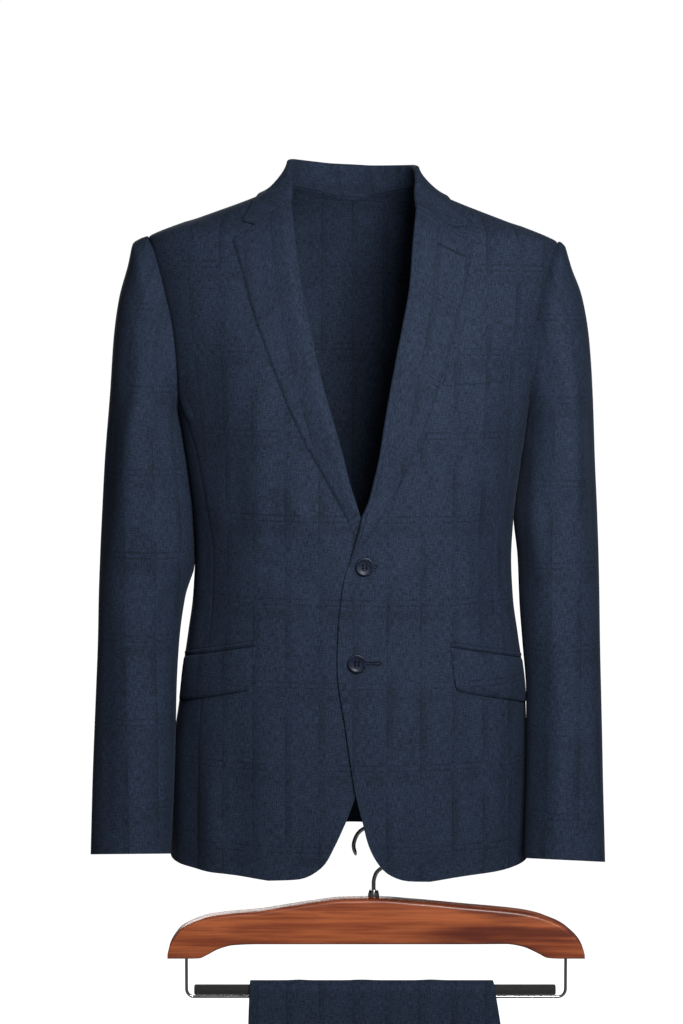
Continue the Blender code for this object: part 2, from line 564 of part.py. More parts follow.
def sleeve_grid(rows, phi, taus):
    phi, taus = np.asarray(phi, float), np.asarray(taus, float)
    p = sleeve_form(rows, phi[None, :], taus[:, None])
    hole = armhole(phi % 360)
    loop = torso(hole[:, 0], hole[:, 1])
    miss = loop - sleeve_form(rows, phi, np.zeros_like(phi))
    w = np.clip(1 - taus / HEAD_ROWS, 0, 1) ** 2
    p = p + w[:, None, None] * miss[None]
    clear = ARM_CLEAR * smooth(taus / CLEAR_ROWS)[:, None]
    p[..., 0] = np.maximum(p[..., 0], side_reach(p[..., 1], p[..., 2]) + clear)
    return p


def sleeve_normal(rows, phi, taus):
    e = 1.0
    across = sleeve_grid(rows, phi + e, taus) - sleeve_grid(rows, phi - e, taus)
    t0, t1 = np.maximum(taus - 0.05, 0), np.minimum(taus + 0.05, len(rows) - 1)
    down = sleeve_grid(rows, phi, t1) - sleeve_grid(rows, phi, t0)
    n = np.cross(across, down)
    return n / np.linalg.norm(n, axis=-1, keepdims=True)


def sleeve(side):
    rows = LEFT_SLEEVE if side > 0 else RIGHT_SLEEVE
    taus = np.arange(len(rows), dtype=float)
    word = "left" if side > 0 else "right"
    ring = chain(np.linspace(PHI_BACK_SEAM - 360, 0, ARM_ROWS + 1),
                 np.linspace(0, PHI_FRONT_SEAM, ARM_ROWS + 1),
                 np.linspace(PHI_FRONT_SEAM, PHI_BACK_SEAM, SIDE_COLS + 1))
    parts = {"top": ring[ARM_SHIFT:-SIDE_SHIFT],
             "under": chain(ring[-SIDE_SHIFT - 1:], ring[:ARM_SHIFT + 1] + 360)}
    for part, phi in parts.items():
        n = sleeve_normal(rows, phi, taus)
        outer = trim(sleeve_grid(rows, phi, taus), "tio")
        inner = outer - WALL * n
        for g in (outer, inner):
            g[..., 0] *= side
        wall(f"sleeve_{part}_{word}", outer, inner, SLEEVE_LEAN)


# ---------------------------------------------------------------- lapels
def lapel_rise(u):
    """Height of the lapel's under side over its front, from the roll to the outer edge."""
    return 2 * ROLL + LAPEL_SWELL * np.sin(math.pi * u) - LAPEL_DIP * u


def lapel(side):
    edge = LEFT_LAPEL if side > 0 else RIGHT_LAPEL
    gorge = LEFT_GORGE if side > 0 else RIGHT_GORGE
    inner, outer = roll_line(side), along(edge, LAPEL_ROWS)
    top = chain(along((tuple(inner[0]), gorge[1]), GORGE_COLS), along(gorge[1:], NOTCH_COLS))
    low = along((inner[-1], outer[-1]), GORGE_COLS + NOTCH_COLS)
    grid = coons(top, low, inner, outer)
    x, z = grid[..., 0], grid[..., 1]
    psi = front_angle(x, z) * side
    base = lap(psi, z) if side > 0 else np.zeros_like(psi)
    rise = lapel_rise(np.linspace(0, 1, GORGE_COLS + NOTCH_COLS + 1))
    under = shell(psi, z, base + rise[None])
    over = shell(psi, z, base + rise[None] + WALL)
    # the turn: a half ring from the panel's edge to the lapel's face
    a = np.linspace(0, math.pi, TURN_COLS + 1)[:-1]
    edge_z = z[:, :1]

    def turn(radius):
        xs = x[:, :1] - radius * np.sin(a)[None]
        ps = front_angle(xs, edge_z) * side
        lift = lap(ps, edge_z) if side > 0 else 0.0
        return shell(ps, edge_z + 0 * xs, lift + ROLL - radius * np.cos(a)[None])

    inner_turn, outer_turn = turn(ROLL), turn(ROLL + WALL)
    over = np.concatenate([outer_turn, over], 1)
    under = np.concatenate([inner_turn, under], 1)
    drop = trim(over, "t", LAPEL_DROP)[0] - over[0]
    over[0] += drop
    under[0] += drop
    wall("lapel_left" if side > 0 else "lapel_right", over, under)


# ---------------------------------------------------------------- collar
FALL_COLS, STAND_COLS = 4, 2


def collar_half(side):
    """Profiles [station][point] for one side, from the fall's edge over the crest to the seam."""
    gorge = LEFT_GORGE if side > 0 else RIGHT_GORGE
    tip = LEFT_TIP if side > 0 else RIGHT_TIP
    notch = flat((gorge[1],))[0] + (0, GORGE_GAP)
    tips = flat((tip, TIP_RISE))
    edges = [notch, tips[0], tips[1]] + [np.array((math.radians(a), z)) for a, z in FALL_ROWS]
    neck = chain(front_neck(side), nape())
    line = along(((gorge[0][0] + ROLL + WALL, gorge[0][1]), gorge[1]), GORGE_COLS)[::-1]
    line_u = np.linspace(GORGE_COLS / (GORGE_COLS + NOTCH_COLS), 0, GORGE_COLS + 1)
    over, under = [], []
    up_axis = np.array((0.0, 0.0, 1.0))
    for i, row in enumerate(COLLAR_ROWS):
        psi_e, z_e = edges[i]
        clear = FALL_CLEAR_FRONT if i in (2, 3) else FALL_CLEAR
        edge_u, edge_o = shell(psi_e, z_e, clear), shell(psi_e, z_e, clear + WALL)
        seam = shell(neck[i][0], neck[i][1], 0.0)
        n_seam = torso_normal(*[np.asarray(v) for v in neck[i]])
        turn, hollow = row[3:]
        if i == 0:
            seam = seam + GORGE_GAP * up_axis
            crest = seam + ROLL * n_seam - (CREST_LEAN, 0.0, 0.0)
        else:
            crest = np.array(row[:3])
            if side > 0:
                crest[2] -= COLLAR_SAG * crest[0] / COLLAR_ROWS[2][0]
        out = np.array((crest[0], crest[1] - NECK_CENTRE_Y, 0.0))
        out /= np.linalg.norm(out)
        up = (1 - turn) * np.array((-1.0, 0.0, 0.0)) + turn * up_axis
        up /= np.linalg.norm(up)
        w = (1 - turn) * n_seam + turn * out
        w -= up * w.dot(up)
        w /= np.linalg.norm(w)
        if i == 0:
            tuck = np.array((STAND_TUCK, 0.0, 0.0))
            seam_u, seam_o = seam - tuck, seam - tuck - WALL * n_seam
        else:
            lift = STAND_LIFT * up_axis
            seam_u, seam_o = seam + lift, seam + lift - WALL * w
        fall_u, fall_o = crest + ROLL * w, crest + (ROLL + WALL) * w
        mid = 0.5 * (fall_u + edge_u)
        ctrl_u = (1 - hollow) * mid + hollow * (seam_u + FALL_ROOM * (w + up))
        n_mid = w + torso_normal(np.asarray(psi_e), np.asarray(z_e))
        n_mid /= np.linalg.norm(n_mid)
        ctrl_o = ctrl_u + WALL * n_mid
        t = np.linspace(0, 1, FALL_COLS + 1)[:, None]

        def bezier(e, c, f):
            return (1 - t) ** 2 * e + 2 * t * (1 - t) * c + t ** 2 * f

        a = np.linspace(0, math.pi, TURN_COLS + 1)[1:-1, None]

        def crown(r):
            return crest + r * (np.cos(a) * w + np.sin(a) * up)

        s = np.linspace(0, 1, STAND_COLS + 1)[:, None]

        def stand(r, end):
            top = crest - r * w
            return (1 - s) * top + s * end

        fall_under, fall_over = bezier(edge_u, ctrl_u, fall_u), bezier(edge_o, ctrl_o, fall_o)
        if i == 0:
            on = flat(line)
            shift = np.array((0.0, 0.0, GORGE_GAP))
            fall_under = shell(on[:, 0], on[:, 1], lapel_rise(line_u)) + shift
            fall_over = shell(on[:, 0], on[:, 1], lapel_rise(line_u) + WALL) + shift
        over.append(np.concatenate([fall_over, crown(ROLL + WALL), stand(ROLL + WALL, seam_o)]))
        under.append(np.concatenate([fall_under, crown(ROLL), stand(ROLL, seam_u)]))
    over, under = np.array(over), np.array(under)
    if side < 0:
        over[..., 0] *= -1
        under[..., 0] *= -1
    return over, under


def collar():
    left_o, left_u = collar_half(1)
    right_o, right_u = collar_half(-1)
    wall("collar", np.concatenate([left_o, right_o[::-1][1:]]),
         np.concatenate([left_u, right_u[::-1][1:]]))


# ---------------------------------------------------------------- pockets and buttons
def patch(name, grid, low_out, thick, sides=""):
    """Piece that lies on a panel: the panel's points, moved out."""
    psi, z = grid[..., 0], grid[..., 1]
    under = shell(psi, z, np.full(psi.shape, low_out))
    over = shell(psi, z, np.full(psi.shape, low_out + thick))
    if sides:
        move = trim(over, sides) - over
        over, under = over + move, under + move
    return wall(name, over, under)


def hip_pocket(side):
    word = "left" if side > 0 else "right"
    end = math.radians(FLAP_END)

    def line(z_front, z_end, x_front, count=9):
        start = front_angle(x_front, z_front)
        psi = np.linspace(float(start), end, count + 1)
        t = (psi - psi[0]) / (psi[-1] - psi[0])
        return np.stack([psi, z_front + (z_end - z_front) * t], -1)

    top = line(FLAP_TOP_FRONT, FLAP_TOP_END, FLAP_FRONT_X)
    corner = flat(FLAP_CORNER)
    inner = along((top[0], corner[0]), 3)
    rest = np.linspace(corner[2, 0], end, 8)
    t = (rest - rest[0]) / (rest[-1] - rest[0])
    low = np.concatenate([corner[:2], np.stack(
        [rest, corner[2, 1] + (FLAP_LOW_END - corner[2, 1]) * t], -1)])
    outer = along((top[-1], low[-1]), 3)
    patch(f"flap_{word}", mirror(coons(top, low, inner, outer), side), FLAP_LIFT, WALL, "t")
    up = line(FLAP_TOP_FRONT + JETTING, FLAP_TOP_END + JETTING, FLAP_FRONT_X)
    slip = coons(up, top, along((up[0], top[0]), 1), along((up[-1], top[-1]), 1))
    patch(f"jetting_{word}", mirror(slip, side), JETTING_LIFT, JETTING_T, "b")


def breast_pocket():
    corners = [flat((c,))[0] for c in WELT]
    top, low = along((corners[0], corners[1]), 5), along((corners[3], corners[2]), 5)
    grid = coons(top, low, along((corners[0], corners[3]), 1), along((corners[1], corners[2]), 1))
    patch("welt_breast", grid, WELT_LIFT, WELT_T)


def button(name, x, z):
    """Four-hole button with a raised rim, turned about its axis."""
    psi = float(front_angle(x, z))
    point = shell(np.asarray(psi), np.asarray(z), lap(psi, z) + BUTTON_LIFT)
    normal = torso_normal(np.asarray(psi), np.asarray(z))
    point = lean(point)
    side = np.cross((0.0, 0.0, 1.0), normal)
    side /= np.linalg.norm(side)
    up = np.cross(normal, side)
    bm = bmesh.new()
    rings = []
    for r, h in BUTTON_ROWS:
        if r == 0:
            rings.append([bm.verts.new(point + h * normal)])
        else:
            rings.append([bm.verts.new(point + h * normal + r * (
                math.cos(2 * math.pi * k / BUTTON_SIDES) * side
                + math.sin(2 * math.pi * k / BUTTON_SIDES) * up)) for k in range(BUTTON_SIDES)])
    for lower, upper in zip(rings, rings[1:]):
        for k in range(BUTTON_SIDES):
            m = (k + 1) % BUTTON_SIDES
            if len(lower) == 1:
                bm.faces.new((lower[0], upper[k], upper[m]))
            elif len(upper) == 1:
                bm.faces.new((lower[k], lower[m], upper[0]))
            else:
                bm.faces.new((lower[k], lower[m], upper[m], upper[k]))
    ob = finish(name, bm, "button_resin", 35)
    cutter_bm = bmesh.new()
    for k in range(4):
        ang = math.pi / 4 + k * math.pi / 2
        c = point + HOLE_OFF * (math.cos(ang) * side + math.sin(ang) * up)
        low, high = ([cutter_bm.verts.new(c + reach * normal + HOLE_R * (
            math.cos(math.pi * j / 4) * side + math.sin(math.pi * j / 4) * up))
            for j in range(8)] for reach in HOLE_REACH)
        cutter_bm.faces.new(low)
        cutter_bm.faces.new(high)
        for j in range(8):
            m = (j + 1) % 8
            cutter_bm.faces.new((low[j], low[m], high[m], high[j]))
    cutter = finish(f"{name}_holes", cutter_bm, "button_resin")
    cutter.hide_render = True
    cutter.display_type = "WIRE"
    cut = ob.modifiers.new("holes", "BOOLEAN")
    cut.operation = "DIFFERENCE"
    cut.object = cutter


# ---------------------------------------------------------------- hanger
def loft(name, rings, slot):
    """Closed body through rings of points, capped at both ends."""
    bm = bmesh.new()
    v = [[bm.verts.new(p) for p in ring] for ring in rings]
    n = len(rings[0])
    for a, b in zip(v, v[1:]):
        for j in range(n):
            k = (j + 1) % n
            bm.faces.new((a[j], a[k], b[k], b[j]))
    bm.faces.new(v[0][::-1])
    bm.faces.new(v[-1])
    return finish(name, bm, slot, 40)


def rod(name, path, radius, sides, slot):
    """Round rod along a path of (x, z) points in the hanger's plane."""
    p = np.array(path, float)
    t = np.gradient(p, axis=0)
    t /= np.linalg.norm(t, axis=1, keepdims=True)
    radius = np.broadcast_to(radius, len(p))
    rings = []
    for q, d, r in zip(p, t, radius):
        ang = np.arange(sides) * 2 * math.pi / sides
        rings.append([(q[0] - r * math.cos(a) * d[1], HANGER_Y + r * math.sin(a),
                       q[1] + r * math.cos(a) * d[0]) for a in ang])
    return loft(name, rings, slot)


def hanger():
    half, c = WOOD_T / 2, WOOD_BEVEL
    rings = []
    for x, top, low in WOOD_ROWS:
        e = min(c, (top - low) * BEVEL_SHARE)
        q = e * BEVEL_ROUND
        rings.append([(x, HANGER_Y - half, low + e), (x, HANGER_Y - half + q, low + q),
                      (x, HANGER_Y - half + e, low), (x, HANGER_Y + half - e, low),
                      (x, HANGER_Y + half - q, low + q), (x, HANGER_Y + half, low + e),
                      (x, HANGER_Y + half, top - e), (x, HANGER_Y + half - q, top - q),
                      (x, HANGER_Y + half - e, top), (x, HANGER_Y - half + e, top),
                      (x, HANGER_Y - half + q, top - q), (x, HANGER_Y - half, top - e)])
    loft("hanger_wood", rings, "hanger_wood")
    bend = [(WIRE_BEND * (1 - math.cos(a)), WIRE_BEND * (1 - math.sin(a)))
            for a in np.linspace(0, math.pi / 2, 5)]
    path = [(WIRE_LEFT, WIRE_TOP)]
    path += [(WIRE_LEFT + dx, WIRE_LOW + dz) for dx, dz in bend]
    path += [(WIRE_RIGHT - dx, WIRE_LOW + dz) for dx, dz in bend[::-1]]
    path += [(WIRE_RIGHT, WIRE_TOP)]
    rod("hanger_wire", path, WIRE_R, 8, "hanger_chrome")
    rod("hanger_tube", [(TUBE_LEFT, TUBE_Z), (TUBE_LEFT + TUBE_ROUND, TUBE_Z),
                        (TUBE_RIGHT - TUBE_ROUND, TUBE_Z), (TUBE_RIGHT, TUBE_Z)],
        [TUBE_R - TUBE_ROUND, TUBE_R, TUBE_R, TUBE_R - TUBE_ROUND], 16, "tube_rubber")
    top = float(column(WOOD_ROWS, 1)(HOOK_X))
    base = top + REST
    rod("hanger_ferrule", [(HOOK_X, base), (HOOK_X, base + FERRULE_LOW),
                           (HOOK_X, base + FERRULE_H)],
        [FERRULE_R, FERRULE_R, FERRULE_TOP_R], 16, "hanger_chrome")
    hook = along([(HOOK_X + dx, z) for dx, z in HOOK_ROWS], 22)
    hook[0, 1] = base + FERRULE_H + REST
    rod("hanger_hook", hook, HOOK_R, 8, "hanger_chrome")


# ---------------------------------------------------------------- trousers
EDGE_L, EDGE_R = column(TROUSER_ROWS, 1), column(TROUSER_ROWS, 2)


def fold_path(s, radius):
    """Point (y, z) and outward direction at distance s along a fold round the bar."""
    quarter = radius * math.pi / 2
    if s > quarter:
        return (HANGER_Y - radius, TUBE_Z - (s - quarter)), (-1.0, 0.0)
    if s < -quarter:
        return (HANGER_Y + radius, TUBE_Z - (-s - quarter)), (1.0, 0.0)
    a = s / radius
    return ((HANGER_Y - radius * math.sin(a), TUBE_Z + radius * math.cos(a)),
            (-math.sin(a), math.cos(a)))


def leg(name, inside):
    """Pressed leg as one rounded solid that lies over the bar; inside is its nearer radius."""
    radius = inside + LEG_T / 2
    arc = radius * math.pi / 2
    hem_s, waist_s = TROUSER_ROWS[0][0], TROUSER_ROWS[-1][0]
    rings = []
    for s in chain(np.linspace(hem_s, -arc, LEG_BACK_ROWS), np.linspace(-arc, arc, LEG_BEND_ROWS),
                   np.linspace(arc, waist_s, LEG_FRONT_ROWS)):
        (y, z), (ny, nz) = fold_path(s, radius)
        left, right = float(EDGE_L(s)), float(EDGE_R(s))
        h = LEG_T / 2
        q, r = h * BEVEL_ROUND, h * (1 - BEVEL_ROUND)
        ring = [(x, h) for x in np.linspace(left + h, right - h, LEG_COLS)]
        ring += [(right - q, r), (right, 0.0), (right - q, -r)]
        ring += [(x, -h) for x in np.linspace(right - h, left + h, LEG_COLS)]
        ring += [(left + q, -r), (left, 0.0), (left + q, r)]
        rings.append([(x, y + d * ny, z + d * nz) for x, d in ring])
    return loft(name, rings, "suit_cloth")


def strip(name, corners, face, sign):
    """Flat piece on a hanging leg; corners (x, s) in order, face is the leg's face in y."""
    low, high = face + sign * STRIP_GAP, face + sign * (STRIP_GAP + STRIP_T)
    quarter = (TUBE_R + REST + LEG_T / 2) * math.pi / 2
    bm = bmesh.new()
    a = [bm.verts.new((x, low, TUBE_Z - (s - quarter))) for x, s in corners]
    b = [bm.verts.new((x, high, TUBE_Z - (s - quarter))) for x, s in corners]
    bm.faces.new(a)
    bm.faces.new(b[::-1])
    n = len(corners)
    for j in range(n):
        k = (j + 1) % n
        bm.faces.new((a[j], b[j], b[k], a[k]))
    return finish(name, bm, "suit_cloth")


def trousers():
    first = TUBE_R + REST
    second = first + LEG_T + REST
    leg("leg_left", first)
    leg("leg_right", second)
    front_face = HANGER_Y - second - LEG_T
    inner_face = HANGER_Y - first
    low, high = WAIST_TOP - WAIST_H, WAIST_TOP
    band = [(float(EDGE_L(low)) + BAND_INSET, low)]
    band += [(float(EDGE_R(s)) - BAND_INSET, s) for s in (low, (low + high) / 2, high)]
    band += [(float(EDGE_L(high)) + BAND_INSET, high)]
    strip("waistband_right", band, front_face, -1)
    strip("waistband_left", band, inner_face, 1)
    (x0, a), (x1, b) = POCKET_TOP, POCKET_LOW
    welt = [(x0, a), (x0 + POCKET_W, a), (x1 + POCKET_W, b), (x1, b)]
    strip("pocket_right", welt, front_face, -1)
    strip("pocket_left", welt, inner_face, 1)


# ---------------------------------------------------------------- build
for old in list(bpy.data.objects):
    bpy.data.objects.remove(old)

MATERIALS = {}
for slot_name, (rgb, rough, metal) in COLORS.items():
    material = bpy.data.materials.new(slot_name)
    material.use_nodes = True
    shader = material.node_tree.nodes["Principled BSDF"]
    shader.inputs["Base Color"].default_value = (*rgb, 1.0)
    shader.inputs["Roughness"].default_value = rough
    shader.inputs["Metallic"].default_value = metal
    MATERIALS[slot_name] = material

for sign in (1, -1):
    front(sign)
    side_body(sign)
    back(sign)
    sleeve(sign)
    lapel(sign)
    hip_pocket(sign)
collar()
breast_pocket()
for label, (bx, bz) in BUTTONS.items():
    button(label, bx, bz)
hanger()
trousers()
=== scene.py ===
"""Dresses a two-piece suit: a notched-lapel jacket filled out as it is worn, and its trousers
folded over the bar of a wooden hanger.

Metres, +Z up, the front faces -Y, the wearer's left is +X. Every cloth piece is a thin wall
laid on one smooth body form, with its seams let in and its folds pressed in.
"""
import logging
import math
from dataclasses import dataclass
from enum import Enum
from typing import Callable, Optional, Sequence

import bmesh
import bpy
import numpy as np
from mathutils import Matrix, Vector

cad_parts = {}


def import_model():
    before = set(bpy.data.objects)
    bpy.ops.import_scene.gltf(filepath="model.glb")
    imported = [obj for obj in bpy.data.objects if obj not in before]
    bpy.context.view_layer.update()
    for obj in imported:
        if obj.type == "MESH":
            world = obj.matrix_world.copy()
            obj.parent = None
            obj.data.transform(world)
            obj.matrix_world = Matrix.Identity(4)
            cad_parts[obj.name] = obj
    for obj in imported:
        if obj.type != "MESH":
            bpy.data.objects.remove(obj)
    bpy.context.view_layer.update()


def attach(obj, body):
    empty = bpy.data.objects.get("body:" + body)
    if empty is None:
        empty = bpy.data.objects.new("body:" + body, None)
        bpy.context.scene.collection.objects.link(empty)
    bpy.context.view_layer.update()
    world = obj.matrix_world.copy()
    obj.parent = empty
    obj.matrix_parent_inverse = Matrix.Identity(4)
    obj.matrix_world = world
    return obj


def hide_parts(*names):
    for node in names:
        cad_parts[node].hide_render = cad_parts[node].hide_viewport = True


log = logging.getLogger("suit")
Array = np.ndarray
Socket = bpy.types.NodeSocket
Pair = tuple[float, float]
Triple = tuple[float, float, float]
Table = tuple[tuple[float, ...], ...]


class Side(Enum):
    """A side of the wearer; its value is the sign of x there."""

    LEFT = 1
    RIGHT = -1

    @property
    def word(self) -> str:
        """The side's name as the nodes have it."""
        return self.name.lower()


class Hold(Enum):
    """How a piece of cloth is held."""

    HUNG = "hung"
    LAID = "laid"
    FOLDED = "folded"


@dataclass(frozen=True)
class Cut:
    """The flat cut of a piece of cloth: its sides and area in metres, and how it is held."""

    wide: float
    long: float
    area: float
    held: Hold
    rests: tuple[str, ...] = ()

    def declare(self, piece: bpy.types.Object, side: str) -> None:
        """Does nothing."""


# each kind of piece, as it is cut before it is sewn and pressed
CUTTING: dict[str, Cut] = {
    "front": Cut(0.24, 0.755, 0.134, Hold.HUNG, ("back_{}",)),
    "side": Cut(0.15, 0.535, 0.073, Hold.HUNG, ("front_{}", "back_{}")),
    "back": Cut(0.235, 0.745, 0.145, Hold.HUNG, ("front_{}",)),
    "sleeve_top": Cut(0.29, 0.69, 0.166, Hold.HUNG, ("front_{}", "back_{}")),
    "sleeve_under": Cut(0.1, 0.575, 0.048, Hold.HUNG, ("side_{}", "back_{}")),
    "lapel": Cut(0.085, 0.395, 0.0195, Hold.LAID, ("front_{}",)),
    "collar": Cut(0.42, 0.08, 0.027, Hold.LAID, ("back_left", "back_right")),
    "flap": Cut(0.128, 0.052, 0.0062, Hold.LAID, ("front_{}",)),
    "jetting": Cut(0.128, 0.01, 0.0012, Hold.LAID, ("front_{}",)),
    "welt_breast": Cut(0.075, 0.026, 0.0018, Hold.LAID, ("front_left",)),
    "leg": Cut(0.6, 1.07, 0.574, Hold.FOLDED, ("hanger_tube",)),
    "waistband": Cut(0.34, 0.04, 0.0136, Hold.LAID, ("leg_{}",)),
    "pocket": Cut(0.165, 0.014, 0.0023, Hold.LAID, ("leg_{}",)),
}


# ---- curves
DENSE = 12                       # samples of a boundary for each of its steps


class Curve:
    """Monotone cubic through rows of key and value."""

    def __init__(self, keys: Sequence[float], values: Sequence[float]) -> None:
        """Finds the slopes.

        Args:
            keys: where each value holds, in any order.
            values: one value for each key.
        """
        k, v = np.array(keys, float), np.array(values, float)
        order = np.argsort(k)
        k, v = k[order], v[order]
        h = np.diff(k)
        d = np.diff(v) / h
        m = np.zeros_like(v)
        m[0], m[-1] = d[0], d[-1]
        for i in range(1, len(v) - 1):
            if d[i - 1] * d[i] > 0:
                w1, w2 = 2 * h[i] + h[i - 1], h[i] + 2 * h[i - 1]
                m[i] = (w1 + w2) / (w1 / d[i - 1] + w2 / d[i])
        self.k, self.v, self.m = k, v, m

    def __call__(self, x: Array) -> Array:
        """The curve's values at x."""
        x = np.asarray(x, float)
        i = np.clip(np.searchsorted(self.k, x) - 1, 0, len(self.k) - 2)
        h = self.k[i + 1] - self.k[i]
        t = np.clip((x - self.k[i]) / h, 0, 1)
        return ((2 * t ** 3 - 3 * t ** 2 + 1) * self.v[i] + (t ** 3 - 2 * t ** 2 + t) * h * self.m[i]
                + (3 * t ** 2 - 2 * t ** 3) * self.v[i + 1] + (t ** 3 - t ** 2) * h * self.m[i + 1])


def column(rows: Table, index: int) -> Curve:
    """Curve of one column of a table against its first column."""
    return Curve([r[0] for r in rows], [r[index] for r in rows])


def walked(points: Array) -> Array:
    """Distance of each point of a path from its first."""
    return np.concatenate([[0], np.cumsum(np.linalg.norm(np.diff(points, axis=0), axis=-1))])


def unit(vectors: Array) -> Array:
    """The same directions, each of length one."""
    return vectors / np.linalg.norm(vectors, axis=-1, keepdims=True)


def along(points: Sequence[Sequence[float]], count: int) -> Array:
    """count + 1 points evenly spaced along a smooth path through the given points."""
    p = np.array(points, float)
    s = walked(p)
    f = np.linspace(0, s[-1], count + 1)
    return np.stack([Curve(s, p[:, c])(f) for c in range(p.shape[1])], -1)


def chain(*parts: Array) -> Array:
    """Joins sampled paths that share their end points."""
    return np.concatenate([parts[0]] + [part[1:] for part in parts[1:]])


def smooth(t: Array) -> Array:
    """Eases from 0 to 1."""
    t = np.clip(t, 0, 1)
    return t * t * (3 - 2 * t)


def sample(path: Array, t: Array) -> Array:
    """Points of a dense path at shares t of its steps."""
    index, keys = t * (len(path) - 1), np.arange(len(path))
    return np.stack([np.interp(index, keys, path[:, c]) for c in range(path.shape[1])], -1)


def steps(count: int, near: Sequence[float] = (0.18, 0.5)) -> Array:
    """count even steps from 0 to 1, with a few closer ones at both ends for seams."""
    inner = np.arange(1, count) / count
    close = np.array(near) / count
    return np.concatenate([[0], close, inner, 1 - close[::-1], [1]])


def blend(edges: Sequence[Array], u: Array, v: Array, place: Optional[Callable] = None) -> Array:
    """Grid that blends four boundary paths.

    Args:
        edges: top, bottom, inner and outer path, each dense.
        u: shares along the top and the bottom.
        v: shares along the inner and the outer path.
        place: turns a path's points into metres, where they aren't.

    Returns:
        Points [row, column, coordinate].
    """
    top, bottom = sample(edges[0], u), sample(edges[1], u)
    inner, outer = sample(edges[2], v), sample(edges[3], v)

    def share(p: Array) -> Array:
        """Share of the path's real length at each point."""
        s = walked(place(p[:, 0], p[:, 1]) if place else p)
        return s / s[-1]

    a = 0.5 * (share(top) + share(bottom))[None, :, None]
    b = 0.5 * (share(inner) + share(outer))[:, None, None]
    corners = ((1 - a) * (1 - b) * top[0] + a * (1 - b) * top[-1]
               + (1 - a) * b * bottom[0] + a * b * bottom[-1])
    return (1 - b) * top[None] + b * bottom[None] + (1 - a) * inner[:, None] + a * outer[:, None] - corners


def patch(corners: Sequence[Array], wide: int, long: int, u: Array, v: Array) -> Array:
    """Grid between four corners, in order round it.

    Args:
        corners: top's two corners, then the bottom's from the far side back.
        wide: steps along the top and the bottom.
        long: steps along the sides.
        u: shares along the top and the bottom.
        v: shares along the sides.

    Returns:
        Points [row, column, coordinate].
    """
    a, b, c, d = corners
    edges = (along((a, b), wide * DENSE), along((d, c), wide * DENSE),
             along((a, d), long * DENSE), along((b, c), long * DENSE))
    return blend(edges, u, v)


def reach_along(points: Array, axis: int) -> Array:
    """Distance of every grid point from the grid's first row (axis 0) or column (axis 1)."""
    gaps = np.linalg.norm(np.diff(points, axis=axis), axis=-1)
    return np.concatenate([np.zeros_like(np.take(gaps, [0], axis)), np.cumsum(gaps, axis)], axis)


@dataclass(frozen=True)
class Fold:
    """A soft ridge or hollow between two places of a piece, in that piece's own metres."""

    start_u: float
    start_v: float
    end_u: float
    end_v: float
    width: float
    height: float
    bend: float = 0.0

    def lift(self, u: Array, v: Array) -> Array:
        """How far the fold lifts the cloth at places u, v."""
        run = np.array((self.end_u - self.start_u, self.end_v - self.start_v))
        length = float(np.hypot(*run))
        run = run / length
        du, dv = u - self.start_u, v - self.start_v
        t = (du * run[0] + dv * run[1]) / length
        off = dv * run[0] - du * run[1] - self.bend * 4 * t * (1 - t)
        ends = smooth((t + 0.15) / 0.45) * smooth((1.15 - t) / 0.45)
        return self.height * ends * np.exp(-(off / self.width) ** 2)


def fold_rows(*rows: Sequence[float]) -> tuple[Fold, ...]:
    """Folds from rows of their start, end, width, height and bend."""
    return tuple(Fold(*row) for row in rows)


def pressed(folds: Sequence[Fold], u: Array, v: Array) -> Array:
    """Sum of the folds at places u, v."""
    total = np.zeros(np.broadcast(u, v).shape)
    for fold in folds:
        total = total + fold.lift(u, v)
    return total


# ---- finishes
def new_group(name: str, inputs: dict[str, float], outputs: dict[str, str]) -> bpy.types.NodeTree:
    """Starts a shader node group.

    Args:
        name: the group's name.
        inputs: number inputs with their defaults.
        outputs: outputs with their socket types.

    Returns:
        The group, with its input and output nodes in place.
    """
    tree = bpy.data.node_groups.new(name, "ShaderNodeTree")
    for label, value in inputs.items():
        socket = tree.interface.new_socket(name=label, in_out="INPUT", socket_type="NodeSocketFloat")
        socket.default_value = value
    for label, kind in outputs.items():
        tree.interface.new_socket(name=label, in_out="OUTPUT", socket_type=kind)
    tree.nodes.new("NodeGroupInput")
    tree.nodes.new("NodeGroupOutput")
    return tree


